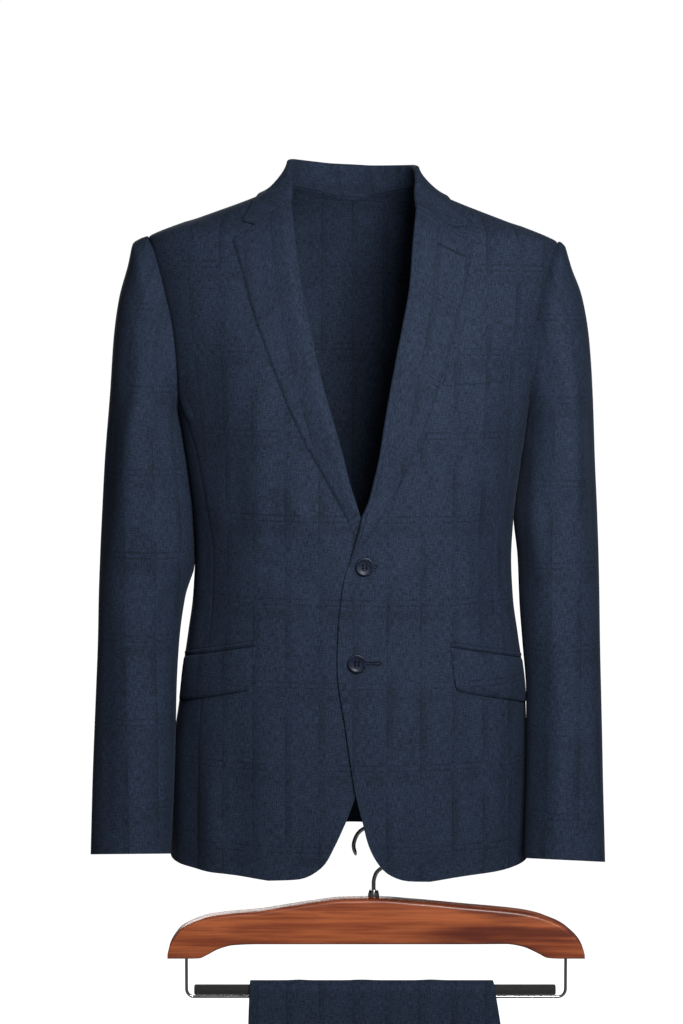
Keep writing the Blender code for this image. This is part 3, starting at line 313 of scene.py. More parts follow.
class Wiring:
    """Short calls that add and join nodes of one tree."""

    def __init__(self, tree: bpy.types.NodeTree) -> None:
        """Keeps the tree."""
        self.tree = tree

    def node(self, kind: str, **settings: object) -> bpy.types.Node:
        """Adds a node and sets its properties."""
        made = self.tree.nodes.new(kind)
        for key, value in settings.items():
            setattr(made, key, value)
        return made

    def join(self, source: Socket, target: Socket) -> None:
        """Links two sockets."""
        self.tree.links.new(source, target)

    def plain(self, node: bpy.types.Node, values: dict[str, object]) -> None:
        """Sets inputs of a node that are the same all over the surface."""
        for label, value in values.items():
            node.inputs[label].default_value = value

    def place(self) -> Socket:
        """The place on the piece, in metres."""
        return self.node("ShaderNodeTexCoord").outputs["Object"]

    def relief(self, shader: bpy.types.Node, height: Socket, strength: float,
               distance: float) -> None:
        """Raises a shader's surface by a height."""
        bump = self.node("ShaderNodeBump")
        self.plain(bump, {"Strength": strength, "Distance": distance})
        self.join(height, bump.inputs["Height"])
        self.join(bump.outputs[0], shader.inputs["Normal"])

    def math(self, operation: str, *values: object) -> Socket:
        """A Math node whose inputs are sockets or numbers."""
        made = self.node("ShaderNodeMath", operation=operation)
        for socket, value in zip(made.inputs, values):
            if isinstance(value, (int, float)):
                socket.default_value = value
            else:
                self.join(value, socket)
        return made.outputs[0]

    def noise(self, vector: Socket, scale: Sequence[float], detail: float = 2.0,
              rough: float = 0.5) -> Socket:
        """Noise stretched by a scale for each axis, per metre.

        Args:
            vector: place on the piece.
            scale: waves in a metre, along each axis.
            detail: how many finer layers.
            rough: how strong they are.

        Returns:
            The value, from 0 to 1.
        """
        spread = self.node("ShaderNodeVectorMath", operation="MULTIPLY")
        self.join(vector, spread.inputs[0])
        spread.inputs[1].default_value = scale
        made = self.node("ShaderNodeTexNoise")
        self.plain(made, {"Scale": 1.0, "Detail": detail, "Roughness": rough})
        self.join(spread.outputs[0], made.inputs["Vector"])
        return made.outputs["Fac"]

    def ramp(self, value: object, low: float, high: float, ease: bool = True) -> Socket:
        """Maps a value from low..high to 0..1."""
        made = self.node("ShaderNodeMapRange", interpolation_type="SMOOTHSTEP" if ease else "LINEAR")
        self.join(value, made.inputs["Value"])
        self.plain(made, {"From Min": low, "From Max": high})
        return made.outputs["Result"]

    def mix(self, share: object, a: object, b: object) -> Socket:
        """Mixes two colours, each a socket or an RGB triple."""
        made = self.node("ShaderNodeMix", data_type="RGBA")
        sockets = [s for s in made.inputs if s.enabled]
        for socket, value in zip(sockets, (share, a, b)):
            if isinstance(value, Socket):
                self.join(value, socket)
            else:
                socket.default_value = value if isinstance(value, float) else (*value, 1.0)
        return next(s for s in made.outputs if s.enabled)


def suiting_group() -> bpy.types.NodeTree:
    """Worsted suiting: heathered threads both ways and a faint window check, built once."""
    name = "worsted suiting"
    if name in bpy.data.node_groups:
        return bpy.data.node_groups[name]
    tree = new_group(name, {"Warp Pitch": 0.0365, "Weft Pitch": 0.09},
                     {"Threads": "NodeSocketFloat", "Check": "NodeSocketFloat", "Height": "NodeSocketFloat"})
    w = Wiring(tree)
    source, sink = tree.nodes[0], tree.nodes[1]
    place = w.node("ShaderNodeUVMap", uv_map="weave").outputs[0]
    split = w.node("ShaderNodeSeparateXYZ")
    w.join(place, split.inputs[0])
    warp = w.noise(place, (1050.0, 130.0, 1.0), 2.0)
    weft = w.noise(place, (150.0, 1050.0, 1.0), 2.0)
    fleck = w.noise(place, (760.0, 760.0, 1.0), 2.0, 0.7)
    cloud = w.noise(place, (60.0, 16.0, 1.0), 2.0)
    body = w.math("ADD", w.math("MULTIPLY", warp, 0.42), w.math("MULTIPLY", weft, 0.36))
    body = w.math("ADD", body, w.math("MULTIPLY", fleck, 0.42))
    body = w.math("ADD", body, w.math("MULTIPLY", cloud, 0.08))
    w.join(w.ramp(body, 0.5, 0.8, False), sink.inputs["Threads"])

    def stripes(position: Socket, pitch: Socket, shift: float,
                half_width: float) -> Socket:
        """One thin line in every pitch, shifted by a share of it."""
        turn = w.math("FRACT", w.math("ADD", w.math("DIVIDE", position, pitch), shift))
        away = w.math("MULTIPLY", w.math("ABSOLUTE", w.math("SUBTRACT", turn, 0.5)), pitch)
        return w.math("SUBTRACT", 1.0, w.ramp(away, half_width * 0.4, half_width))

    warp_lines = w.math("MAXIMUM", w.math("MULTIPLY", stripes(
        split.outputs[0], source.outputs["Warp Pitch"], 0.5, 0.0016), 0.8), w.math("MULTIPLY", stripes(
            split.outputs[0], source.outputs["Warp Pitch"], 0.42, 0.005), 0.45))
    weft_lines = w.math("MAXIMUM", stripes(split.outputs[1], source.outputs["Weft Pitch"], 0.5, 0.0015),
                        stripes(split.outputs[1], source.outputs["Weft Pitch"], 0.57, 0.0015))
    weft_lines = w.math("MAXIMUM", weft_lines, w.math("MULTIPLY", stripes(
        split.outputs[1], source.outputs["Weft Pitch"], 0.68, 0.008), 0.5))
    broken = w.ramp(w.noise(place, (60.0, 18.0, 1.0), 2.0), 0.3, 0.66)
    lines = w.math("MULTIPLY", w.math("MAXIMUM", warp_lines, w.math("MULTIPLY", weft_lines, 0.7)), broken)
    w.join(lines, sink.inputs["Check"])
    height = w.math("ADD", w.math("MULTIPLY", warp, 0.5), w.math("MULTIPLY", weft, 0.5))
    w.join(height, sink.inputs["Height"])
    return tree


@dataclass(frozen=True)
class Finish:
    """A finish of the suit, whose material is built once."""

    name: str = "plain"

    def material(self) -> bpy.types.Material:
        """Builds the material, or finds it."""
        if self.name in bpy.data.materials:
            return bpy.data.materials[self.name]
        made = bpy.data.materials.new(self.name)
        made.use_nodes = True
        self.dress(Wiring(made.node_tree), made.node_tree.nodes["Principled BSDF"])
        return made

    def dress(self, w: Wiring, shader: bpy.types.Node) -> None:
        """Wires the finish's looks into its shader."""
        raise NotImplementedError


@dataclass(frozen=True)
class ClothFinish(Finish):
    """Worsted wool: a dark and a light thread, how strong its check is, and its nap."""

    name: str = "navy worsted"
    dark: Triple = (0.0088, 0.0128, 0.0222)
    light: Triple = (0.04, 0.061, 0.11)
    stripe: Triple = (0.0075, 0.01, 0.0155)
    check: float = 0.6
    nap: float = 0.05
    bump: float = 0.35

    def dress(self, w: Wiring, shader: bpy.types.Node) -> None:
        """Wires the finish's looks into its shader."""
        cloth = w.node("ShaderNodeGroup", node_tree=suiting_group())
        threads = w.mix(cloth.outputs["Threads"], self.dark, self.light)
        colour = w.mix(w.math("MULTIPLY", cloth.outputs["Check"], self.check), threads, self.stripe)
        w.join(colour, shader.inputs["Base Color"])
        w.relief(shader, cloth.outputs["Height"], self.bump, 0.0004)
        w.plain(shader, {"Roughness": 0.82, "Specular IOR Level": 0.12, "Sheen Weight": self.nap,
                         "Sheen Roughness": 0.45, "Sheen Tint": (0.55, 0.68, 0.95, 1.0)})


@dataclass(frozen=True)
class ThreadFinish(Finish):
    """Buttonhole silk and sewing thread."""

    name: str = "navy thread"
    colour: Triple = (0.0045, 0.0062, 0.011)

    def dress(self, w: Wiring, shader: bpy.types.Node) -> None:
        """Wires the finish's looks into its shader."""
        place = w.place()
        twist = w.noise(place, (2600.0, 2600.0, 2600.0), 1.0)
        w.join(w.mix(twist, self.colour, tuple(2.4 * c for c in self.colour)), shader.inputs["Base Color"])
        w.plain(shader, {"Roughness": 0.9, "Specular IOR Level": 0.15})


@dataclass(frozen=True)
class ResinFinish(Finish):
    """Button resin with faint clouds and a polished rim."""

    name: str = "navy resin"
    deep: Triple = (0.006, 0.009, 0.02)
    pale: Triple = (0.018, 0.027, 0.06)

    def dress(self, w: Wiring, shader: bpy.types.Node) -> None:
        """Wires the finish's looks into its shader."""
        place = w.place()
        swirl = w.ramp(w.noise(place, (330.0, 330.0, 330.0), 3.0, 0.6), 0.35, 0.7)
        w.join(w.mix(swirl, self.deep, self.pale), shader.inputs["Base Color"])
        w.plain(shader, {"Roughness": 0.38, "Specular IOR Level": 0.35})


@dataclass(frozen=True)
class WoodFinish(Finish):
    """Varnished red-brown hardwood with its grain along the hanger."""

    name: str = "varnished hardwood"
    pale: Triple = (0.64, 0.168, 0.054)
    deep: Triple = (0.3, 0.062, 0.022)
    heart: Triple = (0.125, 0.02, 0.012)
    # x over which the wood grows darker, in patches, towards +x
    heart_from: float = 0.03
    heart_to: float = 0.13

    def dress(self, w: Wiring, shader: bpy.types.Node) -> None:
        """Wires the finish's looks into its shader."""
        place = w.place()
        split = w.node("ShaderNodeSeparateXYZ")
        w.join(place, split.inputs[0])
        sway = w.noise(place, (6.0, 22.0, 22.0), 2.0)
        bands = w.noise(place, (9.0, 150.0, 230.0), 3.0, 0.55)
        pores = w.noise(place, (60.0, 900.0, 1100.0), 2.0, 0.6)
        grain = w.math("ADD", w.math("MULTIPLY", bands, 0.75), w.math("MULTIPLY", sway, 0.45))
        colour = w.mix(w.ramp(grain, 0.44, 0.78), self.deep, self.pale)
        # the wood is darker in patches towards +x
        heart = w.math("MULTIPLY", w.ramp(split.outputs[0], self.heart_from, self.heart_to),
                       w.ramp(w.noise(place, (7.0, 60.0, 60.0), 2.0), 0.34, 0.56))
        colour = w.mix(w.math("MULTIPLY", heart, 0.85), colour, self.heart)
        colour = w.mix(w.math("MULTIPLY", w.ramp(pores, 0.6, 0.75), 0.45), colour, self.heart)
        w.join(colour, shader.inputs["Base Color"])
        w.relief(shader, pores, 0.12, 0.0003)
        w.plain(shader, {"Roughness": 0.42, "Coat Weight": 0.35, "Coat Roughness": 0.22})


@dataclass(frozen=True)
class ChromeFinish(Finish):
    """Bright chrome with faint wear."""

    name: str = "bright chrome"
    colour: Triple = (0.62, 0.62, 0.64)

    def dress(self, w: Wiring, shader: bpy.types.Node) -> None:
        """Wires the finish's looks into its shader."""
        place = w.place()
        wear = w.noise(place, (140.0, 140.0, 140.0), 3.0, 0.6)
        w.join(w.mix(wear, self.colour, tuple(0.8 * c for c in self.colour)), shader.inputs["Base Color"])
        w.join(w.math("ADD", 0.12, w.math("MULTIPLY", wear, 0.16)), shader.inputs["Roughness"])
        w.plain(shader, {"Metallic": 1.0})


@dataclass(frozen=True)
class FeltFinish(Finish):
    """Matt black non-slip sleeve with a fine grey pile."""

    name: str = "black felt"
    deep: Triple = (0.0075, 0.0075, 0.0078)
    pale: Triple = (0.04, 0.0385, 0.0385)

    def dress(self, w: Wiring, shader: bpy.types.Node) -> None:
        """Wires the finish's looks into its shader."""
        place = w.place()
        pile = w.noise(place, (1400.0, 1400.0, 1400.0), 2.0, 0.7)
        w.join(w.mix(w.ramp(pile, 0.35, 0.7), self.deep, self.pale), shader.inputs["Base Color"])
        w.relief(shader, pile, 0.5, 0.0004)
        w.plain(shader, {"Roughness": 0.8, "Sheen Weight": 0.3})


CLOTH, THREAD, RESIN, WOOD, CHROME, FELT = (
    ClothFinish(), ThreadFinish(), ResinFinish(), WoodFinish(), ChromeFinish(), FeltFinish())


# ---- making pieces
WELD = 1e-6                      # points closer than this are one
NOT_ALONG = (0.02, 1.0, 0.03)    # direction that no rod or thread runs in


def settle(name: str, bm: bmesh.types.BMesh, finish: Finish, nodes: Sequence[str],
           sharp: float = 50.0) -> bpy.types.Object:
    """Turns a finished bmesh into a piece of the suit.

    Args:
        name: the piece's name.
        bm: its shape, which is freed.
        finish: the finish it wears.
        nodes: the solids it stands for.
        sharp: edges above this angle, in degrees, stay crisp.

    Returns:
        The piece, riding on the suit's one body.
    """
    mesh = bpy.data.meshes.new(name)
    bm.to_mesh(mesh)
    bm.free()
    mesh.shade_smooth()
    mesh.set_sharp_from_angle(angle=math.radians(sharp))
    mesh.materials.append(finish.material())
    piece = bpy.data.objects.new(name, mesh)
    bpy.context.scene.collection.objects.link(piece)
    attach(piece, "root")
    if nodes:
        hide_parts(*nodes)
    log.info("%s: %d faces", name, len(mesh.polygons))
    return piece


def lay_threads(piece: bpy.types.Object) -> None:
    """Writes the piece's thread directions, kept on its points, into its weave map."""
    mesh = piece.data
    corner = np.empty(len(mesh.loops), int)
    mesh.loops.foreach_get("vertex_index", corner)
    threads = np.empty((len(mesh.vertices), 2))
    for axis, layer in enumerate(("weave_u", "weave_v")):
        values = np.empty(len(mesh.vertices))
        mesh.attributes[layer].data.foreach_get("value", values)
        threads[:, axis] = values
    weave = mesh.uv_layers.new(name="weave")
    weave.data.foreach_set("uv", threads[corner].astype(np.float32).ravel())
    for layer in ("weave_u", "weave_v"):
        mesh.attributes.remove(mesh.attributes[layer])


def settle_cloth(name: str, bm: bmesh.types.BMesh, sharp: float = 70.0) -> bpy.types.Object:
    """Turns a finished wall of cloth into a piece with its weave.

    Args:
        name: the piece's name, which is its solid's.
        bm: its shape, which is freed.
        sharp: edges above this angle, in degrees, stay crisp.

    Returns:
        The piece.
    """
    piece = settle(name, bm, CLOTH, (name,), sharp)
    lay_threads(piece)
    kind, _, side = name.rpartition("_")
    cut = CUTTING.get(name) or CUTTING[kind]
    cut.declare(piece, side)
    return piece


def shaped_grid(face: Array, threads: Array, out: Array) -> bmesh.types.BMesh:
    """A bmesh grid moved onto a form.

    Args:
        face: the outer face's points [row, column].
        threads: the weave's place of each point, in metres.
        out: direction that faces outwards at each point.

    Returns:
        The open grid, facing outwards.
    """
    bm = bmesh.new()
    bmesh.ops.create_grid(bm, x_segments=face.shape[1] - 1, y_segments=face.shape[0] - 1, size=0.5)
    u, v = bm.verts.layers.float.new("weave_u"), bm.verts.layers.float.new("weave_v")
    spot = bm.verts.layers.int.new("spot")
    outward = out.reshape(-1, 3)
    for k, (vert, place, thread) in enumerate(zip(bm.verts, face.reshape(-1, 3), threads.reshape(-1, 2))):
        vert.co = place
        vert[u], vert[v] = thread
        vert[spot] = k
    bm.normal_update()
    facing = sum(vert.normal.dot(Vector(o)) for vert, o in zip(bm.verts, outward))
    if facing < 0:
        bmesh.ops.reverse_faces(bm, faces=bm.faces[:])
    return bm


def thicken(bm: bmesh.types.BMesh, inner: Array, thick: float) -> None:
    """Gives a grid its wall, with each inner point at its own place."""
    count = len(bm.verts)
    bmesh.ops.solidify(bm, geom=bm.faces[:], thickness=thick)
    spot = bm.verts.layers.int["spot"]
    for vert in list(bm.verts)[count:]:
        vert.co = inner[vert[spot]]
    bm.normal_update()


def round_edges(bm: bmesh.types.BMesh, above: float, offset: float, segments: int = 2,
                clamp: bool = False) -> None:
    """Rounds every edge whose faces meet at more than an angle in degrees."""
    edges = [e for e in bm.edges if e.is_manifold and e.calc_face_angle() > math.radians(above)]
    bmesh.ops.bevel(bm, geom=edges, offset=offset, segments=segments, profile=0.5, affect="EDGES",
                    material=-1, clamp_overlap=clamp)


def close_ends(bm: bmesh.types.BMesh, sides: int) -> None:
    """Fills the open ends, of up to a number of sides, and turns every face outwards."""
    bmesh.ops.holes_fill(bm, edges=[e for e in bm.edges if e.is_boundary], sides=sides)
    bmesh.ops.recalc_face_normals(bm, faces=bm.faces[:])


def drop_threads(piece: bpy.types.Object) -> bpy.types.Object:
    """Takes the weave's places off a piece that isn't cloth."""
    for layer in ("weave_u", "weave_v"):
        piece.data.attributes.remove(piece.data.attributes[layer])
    return piece


def cloth_piece(name: str, face: Array, threads: Array, out: Array, thick: float, rim: float = 0.3,
                low: float = 0.0) -> bpy.types.Object:
    """A thin wall of cloth with rounded edges.

    Args:
        name: the piece's name.
        face: its outer face's points [row, column].
        threads: the weave's place of each point, in metres.
        out: outward direction at each point.
        thick: the wall's thickness.
        rim: how much of the thickness each edge is rounded by.
        low: share of the lean that stays at the hem.

    Returns:
        The piece.
    """
    bm = shaped_grid(lean(face, low), threads, out)
    thicken(bm, lean(face - thick * out, low).reshape(-1, 3), thick)
    round_edges(bm, 60.0, thick * rim, clamp=True)
    return settle_cloth(name, bm)


def tube(name: str, path: Array, radius: Array, around: int, finish: Finish,
         nodes: Sequence[str], closed: bool = False) -> bpy.types.Object:
    """A round rod or thread along a path.

    Args:
        name: the piece's name.
        path: points along its middle.
        radius: its radius, one for all or one for each point.
        around: how many sides.
        finish: the finish it wears.
        nodes: the solids it stands for.
        closed: whether its ends meet.

    Returns:
        The piece.
    """
    p = np.asarray(path, float)
    tangent = np.roll(p, -1, axis=0) - np.roll(p, 1, axis=0) if closed else np.gradient(p, axis=0)
    tangent = unit(tangent)
    side = unit(np.cross(tangent, np.broadcast_to(NOT_ALONG, tangent.shape)))
    up = np.cross(side, tangent)
    turn = np.linspace(0, 2 * math.pi, around + 1)
    r = np.broadcast_to(radius, len(p))[:, None, None]
    out = np.cos(turn)[None, :, None] * side[:, None] + np.sin(turn)[None, :, None] * up[:, None]
    face = p[:, None] + r * out
    if closed:
        face, out = np.concatenate([face, face[:1]]), np.concatenate([out, out[:1]])
    bm = shaped_grid(face, np.zeros((*face.shape[:2], 2)), out)
    bmesh.ops.remove_doubles(bm, verts=bm.verts[:], dist=WELD)
    if not closed:
        close_ends(bm, around + 1)
    return drop_threads(settle(name, bm, finish, nodes))


# ---- the body's form
SEAM_DEPTH, SEAM_WIDTH = 0.0004, 0.0018
SWELL_HIGH, SWELL_OFF, SWELL_WIDTH = 0.00012, 0.0065, 0.0035


def seam_line(distance: Array) -> Array:
    """How far cloth dips at a distance from a seam, and swells just beside it."""
    dip = -SEAM_DEPTH * np.exp(-(distance / SEAM_WIDTH) ** 2)
    return dip + SWELL_HIGH * np.exp(-((distance - SWELL_OFF) / SWELL_WIDTH) ** 2)


def sewn_sides(across: Array) -> Array:
    """The dips of the seams along both sides of a piece."""
    return seam_line(across) + seam_line(across[:, -1:] - across)


@dataclass(frozen=True)
class Lean:
    """The left shoulder hangs lower; the hem stays level."""

    slope: float = 0.0135
    faded: float = -0.7
    over: float = 0.42
    # distance from the middle, how far the shoulder's ridge drops there
    ridge: Table = (
        (0.185, 0.0), (0.205, 0.0019), (0.214, 0.0027), (0.2205, 0.0031), (0.2235, 0.0029),
        (0.2265, 0.0008), (0.232, 0.0023), (0.238, 0.0037), (0.246, 0.0037), (0.252, 0.002), (0.26, 0.0))
    ridge_low: float = -0.105
    ridge_over: float = 0.045

    def __call__(self, points: Array, low: float = 0.0) -> Array:
        """Lowers points; low is the share that stays at the hem."""
        p = np.array(points, float)
        drop = column(self.ridge, 1)(np.abs(p[..., 0]))
        p[..., 2] -= drop * smooth((p[..., 2] - self.ridge_low) / self.ridge_over)
        fade = low + (1 - low) * np.clip((p[..., 2] - self.faded) / self.over, 0, 1)
        p[..., 2] -= self.slope * p[..., 0] * fade
        return p


lean = Lean()


@dataclass(frozen=True)
class Body:
    """The smooth form that the jacket's panels follow."""

    # height, half width, depth to the front, depth to the back, squareness
    rows: Table = (
        (0.01, 0.048, 0.03, 0.052, 2.0), (-0.005, 0.078, 0.04, 0.06, 2.0),
        (-0.0161, 0.1006, 0.048, 0.07, 2.0), (-0.0422, 0.1686, 0.067, 0.086, 2.0),
        (-0.0629, 0.225, 0.08, 0.096, 2.05), (-0.09, 0.2243, 0.094, 0.106, 2.15),
        (-0.118, 0.2205, 0.104, 0.113, 2.25), (-0.15, 0.213, 0.1135, 0.119, 2.35),
        (-0.187, 0.2062, 0.12, 0.123, 2.42), (-0.235, 0.198, 0.1255, 0.1245, 2.45),
        (-0.27, 0.1915, 0.127, 0.1225, 2.45), (-0.32, 0.184, 0.1275, 0.1155, 2.42),
        (-0.37, 0.178, 0.127, 0.106, 2.38), (-0.414, 0.1757, 0.126, 0.101, 2.35),
        (-0.46, 0.178, 0.125, 0.102, 2.35), (-0.5, 0.1835, 0.124, 0.1055, 2.35),
        (-0.56, 0.1915, 0.1225, 0.112, 2.38), (-0.62, 0.194, 0.1215, 0.1175, 2.4),
        (-0.7, 0.1955, 0.1205, 0.122, 2.4), (-0.77, 0.1965, 0.12, 0.1235, 2.4))
    hem_rows: Table = (
        (0, -0.758), (40, -0.757), (66, -0.753), (90, -0.7485), (112, -0.745), (150, -0.74),
        (180, -0.738))
    front_seam: Table = ((-0.2397, 77.7), (-0.3, 71.0), (-0.4, 66.5), (-0.77, 66.0))
    back_seam: Table = ((-0.2254, 106.2), (-0.3, 110.5), (-0.4, 113.0), (-0.77, 112.0))
    shoulder: Pair = (0.225, -0.0629)
    neck: Pair = (0.078, -0.005)
    arm_front: float = 0.052
    arm_back: float = 0.061
    arm_egg: float = 0.18
    arm_low: float = -0.27
    front_seam_turn: float = 135.0
    back_seam_turn: float = 235.0
    flare: float = 0.008         # how far the right hip stands out behind the sleeve
    flare_top: float = -0.55
    flare_over: float = 0.1
    back_drop: float = 0.015

    def value(self, index: int, z: Array) -> Array:
        """One column of the form's table at a height."""
        return column(self.rows, index)(z)

    def point(self, turn: Array, z: Array) -> Array:
        """Outer face at an angle from the front, positive to the wearer's left, and a height."""
        turn, z = np.broadcast_arrays(np.asarray(turn, float), np.asarray(z, float))
        s, c = np.sin(turn), np.cos(turn)
        a, n = self.value(1, z), self.value(4, z)
        b = np.where(c >= 0, self.value(2, z), self.value(3, z))
        r = ((np.abs(s) / a) ** n + (np.abs(c) / b) ** n) ** (-1 / n)
        low = smooth((self.flare_top - z) / self.flare_over)
        flare = self.flare * np.maximum(-s, 0) ** 6 * low
        return np.stack([r * s - flare, -r * c, z], -1)

    def normal(self, turn: Array, z: Array) -> Array:
        """Outward direction of the form."""
        e = 2e-4
        return unit(np.cross(self.point(turn + e, z) - self.point(turn - e, z),
                             self.point(turn, z + e) - self.point(turn, z - e)))

    def above(self, turn: Array, z: Array, out: Array) -> Array:
        """Point above the form."""
        return self.point(turn, z) + self.normal(turn, z) * np.asarray(out, float)[..., None]

    def front_turn(self, x: Array, z: Array) -> Array:
        """Angle of the front point whose x and height are given."""
        x, z = np.asarray(x, float), np.asarray(z, float)
        a, n = self.value(1, z), self.value(4, z)
        q = np.clip(1 - (np.abs(x) / a) ** n, 0, 1)
        return np.arctan2(x, self.value(2, z) * q ** (1 / n))

    def side_reach(self, y: Array, z: Array) -> Array:
        """Half width of the body at the given y and height."""
        n = self.value(4, z)
        b = np.where(y <= 0, self.value(2, z), self.value(3, z))
        return self.value(1, z) * np.clip(1 - (np.abs(y) / b) ** n, 0, 1) ** (1 / n)

    def armhole(self, turn: Array) -> Array:
        """Armhole loop on the wearer's left as angle and height; turn in degrees, 0 at the top."""
        f = np.radians(turn)
        mid, half = (self.shoulder[1] + self.arm_low) / 2, (self.shoulder[1] - self.arm_low) / 2
        z = mid + half * np.cos(f)
        reach = np.where(np.sin(f) >= 0, -self.arm_front, self.arm_back)
        y = reach * np.abs(np.sin(f)) * (1 - self.arm_egg * np.cos(f))
        return np.stack([np.arctan2(self.side_reach(y, z), -y), z], -1)

    def flat(self, points: Sequence[Sequence[float]]) -> Array:
        """Front points x, z as angle and height."""
        p = np.array(points, float)
        return np.stack([self.front_turn(p[:, 0], p[:, 1]), p[:, 1]], -1)

    def hem(self, turn: Array) -> Array:
        """Height of the hem at an angle."""
        return column(self.hem_rows, 1)(np.degrees(turn))

    def threads(self, turn: Array, z: Array) -> Array:
        """Place in the weave: distance round the body from the centre front, and height."""
        shares = np.linspace(0, 1, 25)
        walk = self.point(turn[..., None] * shares, z[..., None])
        round_body = np.linalg.norm(np.diff(walk, axis=-2), axis=-1).sum(-1) * np.sign(turn)
        return np.stack([round_body, z], -1)


BODY = Body()
ARM_STEPS, SEAM_STEPS, SHOULDER_STEPS, NECK_STEPS = 8, 18, 7, 4
ROLL_STEPS, EDGE_STEPS, CUT_STEPS, FRONT_NECK_STEPS = 13, 7, 3, 3
LAPEL_COLS, GORGE_STEPS, NOTCH_STEPS = 6, 4, 2


@dataclass(frozen=True)
class FrontCut:
    """The outline of one front: its roll, edge, cut-away, hem, lapel and gorge, as x and z."""

    roll: Table
    edge: Table
    cutaway: Table
    hem: Table
    lapel: Table
    gorge: Table
    tip: Pair
    tail: float                  # height at which the lapel has run out
    tail_over: float             # and over which it does


LEFT_CUT = FrontCut(
    roll=(
        (0.0675, -0.0262), (0.063, -0.07), (0.0592, -0.1147), (0.0523, -0.153), (0.0447, -0.1912),
        (0.0378, -0.2284), (0.0314, -0.2668), (0.0266, -0.2974), (0.0222, -0.3171), (0.015, -0.345),
        (0.008, -0.3618), (0.0059, -0.3731), (0.0038, -0.3806), (0.0011, -0.3914), (-0.0012, -0.4011),
        (-0.0032, -0.4098)),
    edge=(
        (-0.0069, -0.4174), (-0.0096, -0.4282), (-0.0122, -0.445), (-0.016, -0.485), (-0.017, -0.521),
        (-0.008, -0.591), (0.0026, -0.662), (0.0104, -0.6938)),
    cutaway=(
        (0.0104, -0.6938), (0.015, -0.713), (0.0234, -0.7323), (0.0383, -0.7493), (0.0592, -0.7575),
        (0.0832, -0.7589)),
    hem=((0.0832, -0.7589), (0.109, -0.756), (0.1404, -0.754), (0.164, -0.753)),
    lapel=(
        (0.1303, -0.0646), (0.1209, -0.1119), (0.1119, -0.145), (0.1037, -0.178), (0.0935, -0.2153),
        (0.0827, -0.2483), (0.0664, -0.2896), (0.0497, -0.3266), (0.0305, -0.36), (0.0219, -0.374),
        (0.0155, -0.3837), (0.0091, -0.393), (0.0049, -0.4011), (0.0011, -0.4097)),
    gorge=((0.0675, -0.029), (0.1066, -0.052), (0.1303, -0.0646)),
    tip=(0.1199, -0.0485), tail=-0.4098, tail_over=0.03)
RIGHT_CUT = FrontCut(
    roll=(
        (0.0669, -0.0234), (0.0629, -0.0598), (0.054, -0.1205), (0.0421, -0.1765), (0.0346, -0.2103),
        (0.0229, -0.2526), (0.0123, -0.2887), (0.0027, -0.327), (-0.0075, -0.3612), (-0.011, -0.374)),
    edge=(
        (-0.0145, -0.386), (-0.0185, -0.405), (-0.0215, -0.43), (-0.022, -0.52), (-0.012, -0.6),
        (-0.0026, -0.662), (0.007, -0.69)),
    cutaway=(
        (0.007, -0.69), (0.0204, -0.7195), (0.0328, -0.7408), (0.0581, -0.7553), (0.0917, -0.7581)),
    hem=((0.0917, -0.7581), (0.115, -0.7555), (0.1391, -0.754), (0.164, -0.753)),
    lapel=(
        (0.1301, -0.0681), (0.1201, -0.0991), (0.1114, -0.132), (0.0988, -0.169), (0.0842, -0.2091),
        (0.0656, -0.2544), (0.0453, -0.2951), (0.0243, -0.3316), (0.008, -0.3603), (-0.002, -0.38)),
    gorge=((0.0669, -0.025), (0.1061, -0.0516), (0.1301, -0.0681)),
    tip=(0.1196, -0.0464), tail=-0.38, tail_over=0.045)
CUTS = {Side.LEFT: LEFT_CUT, Side.RIGHT: RIGHT_CUT}


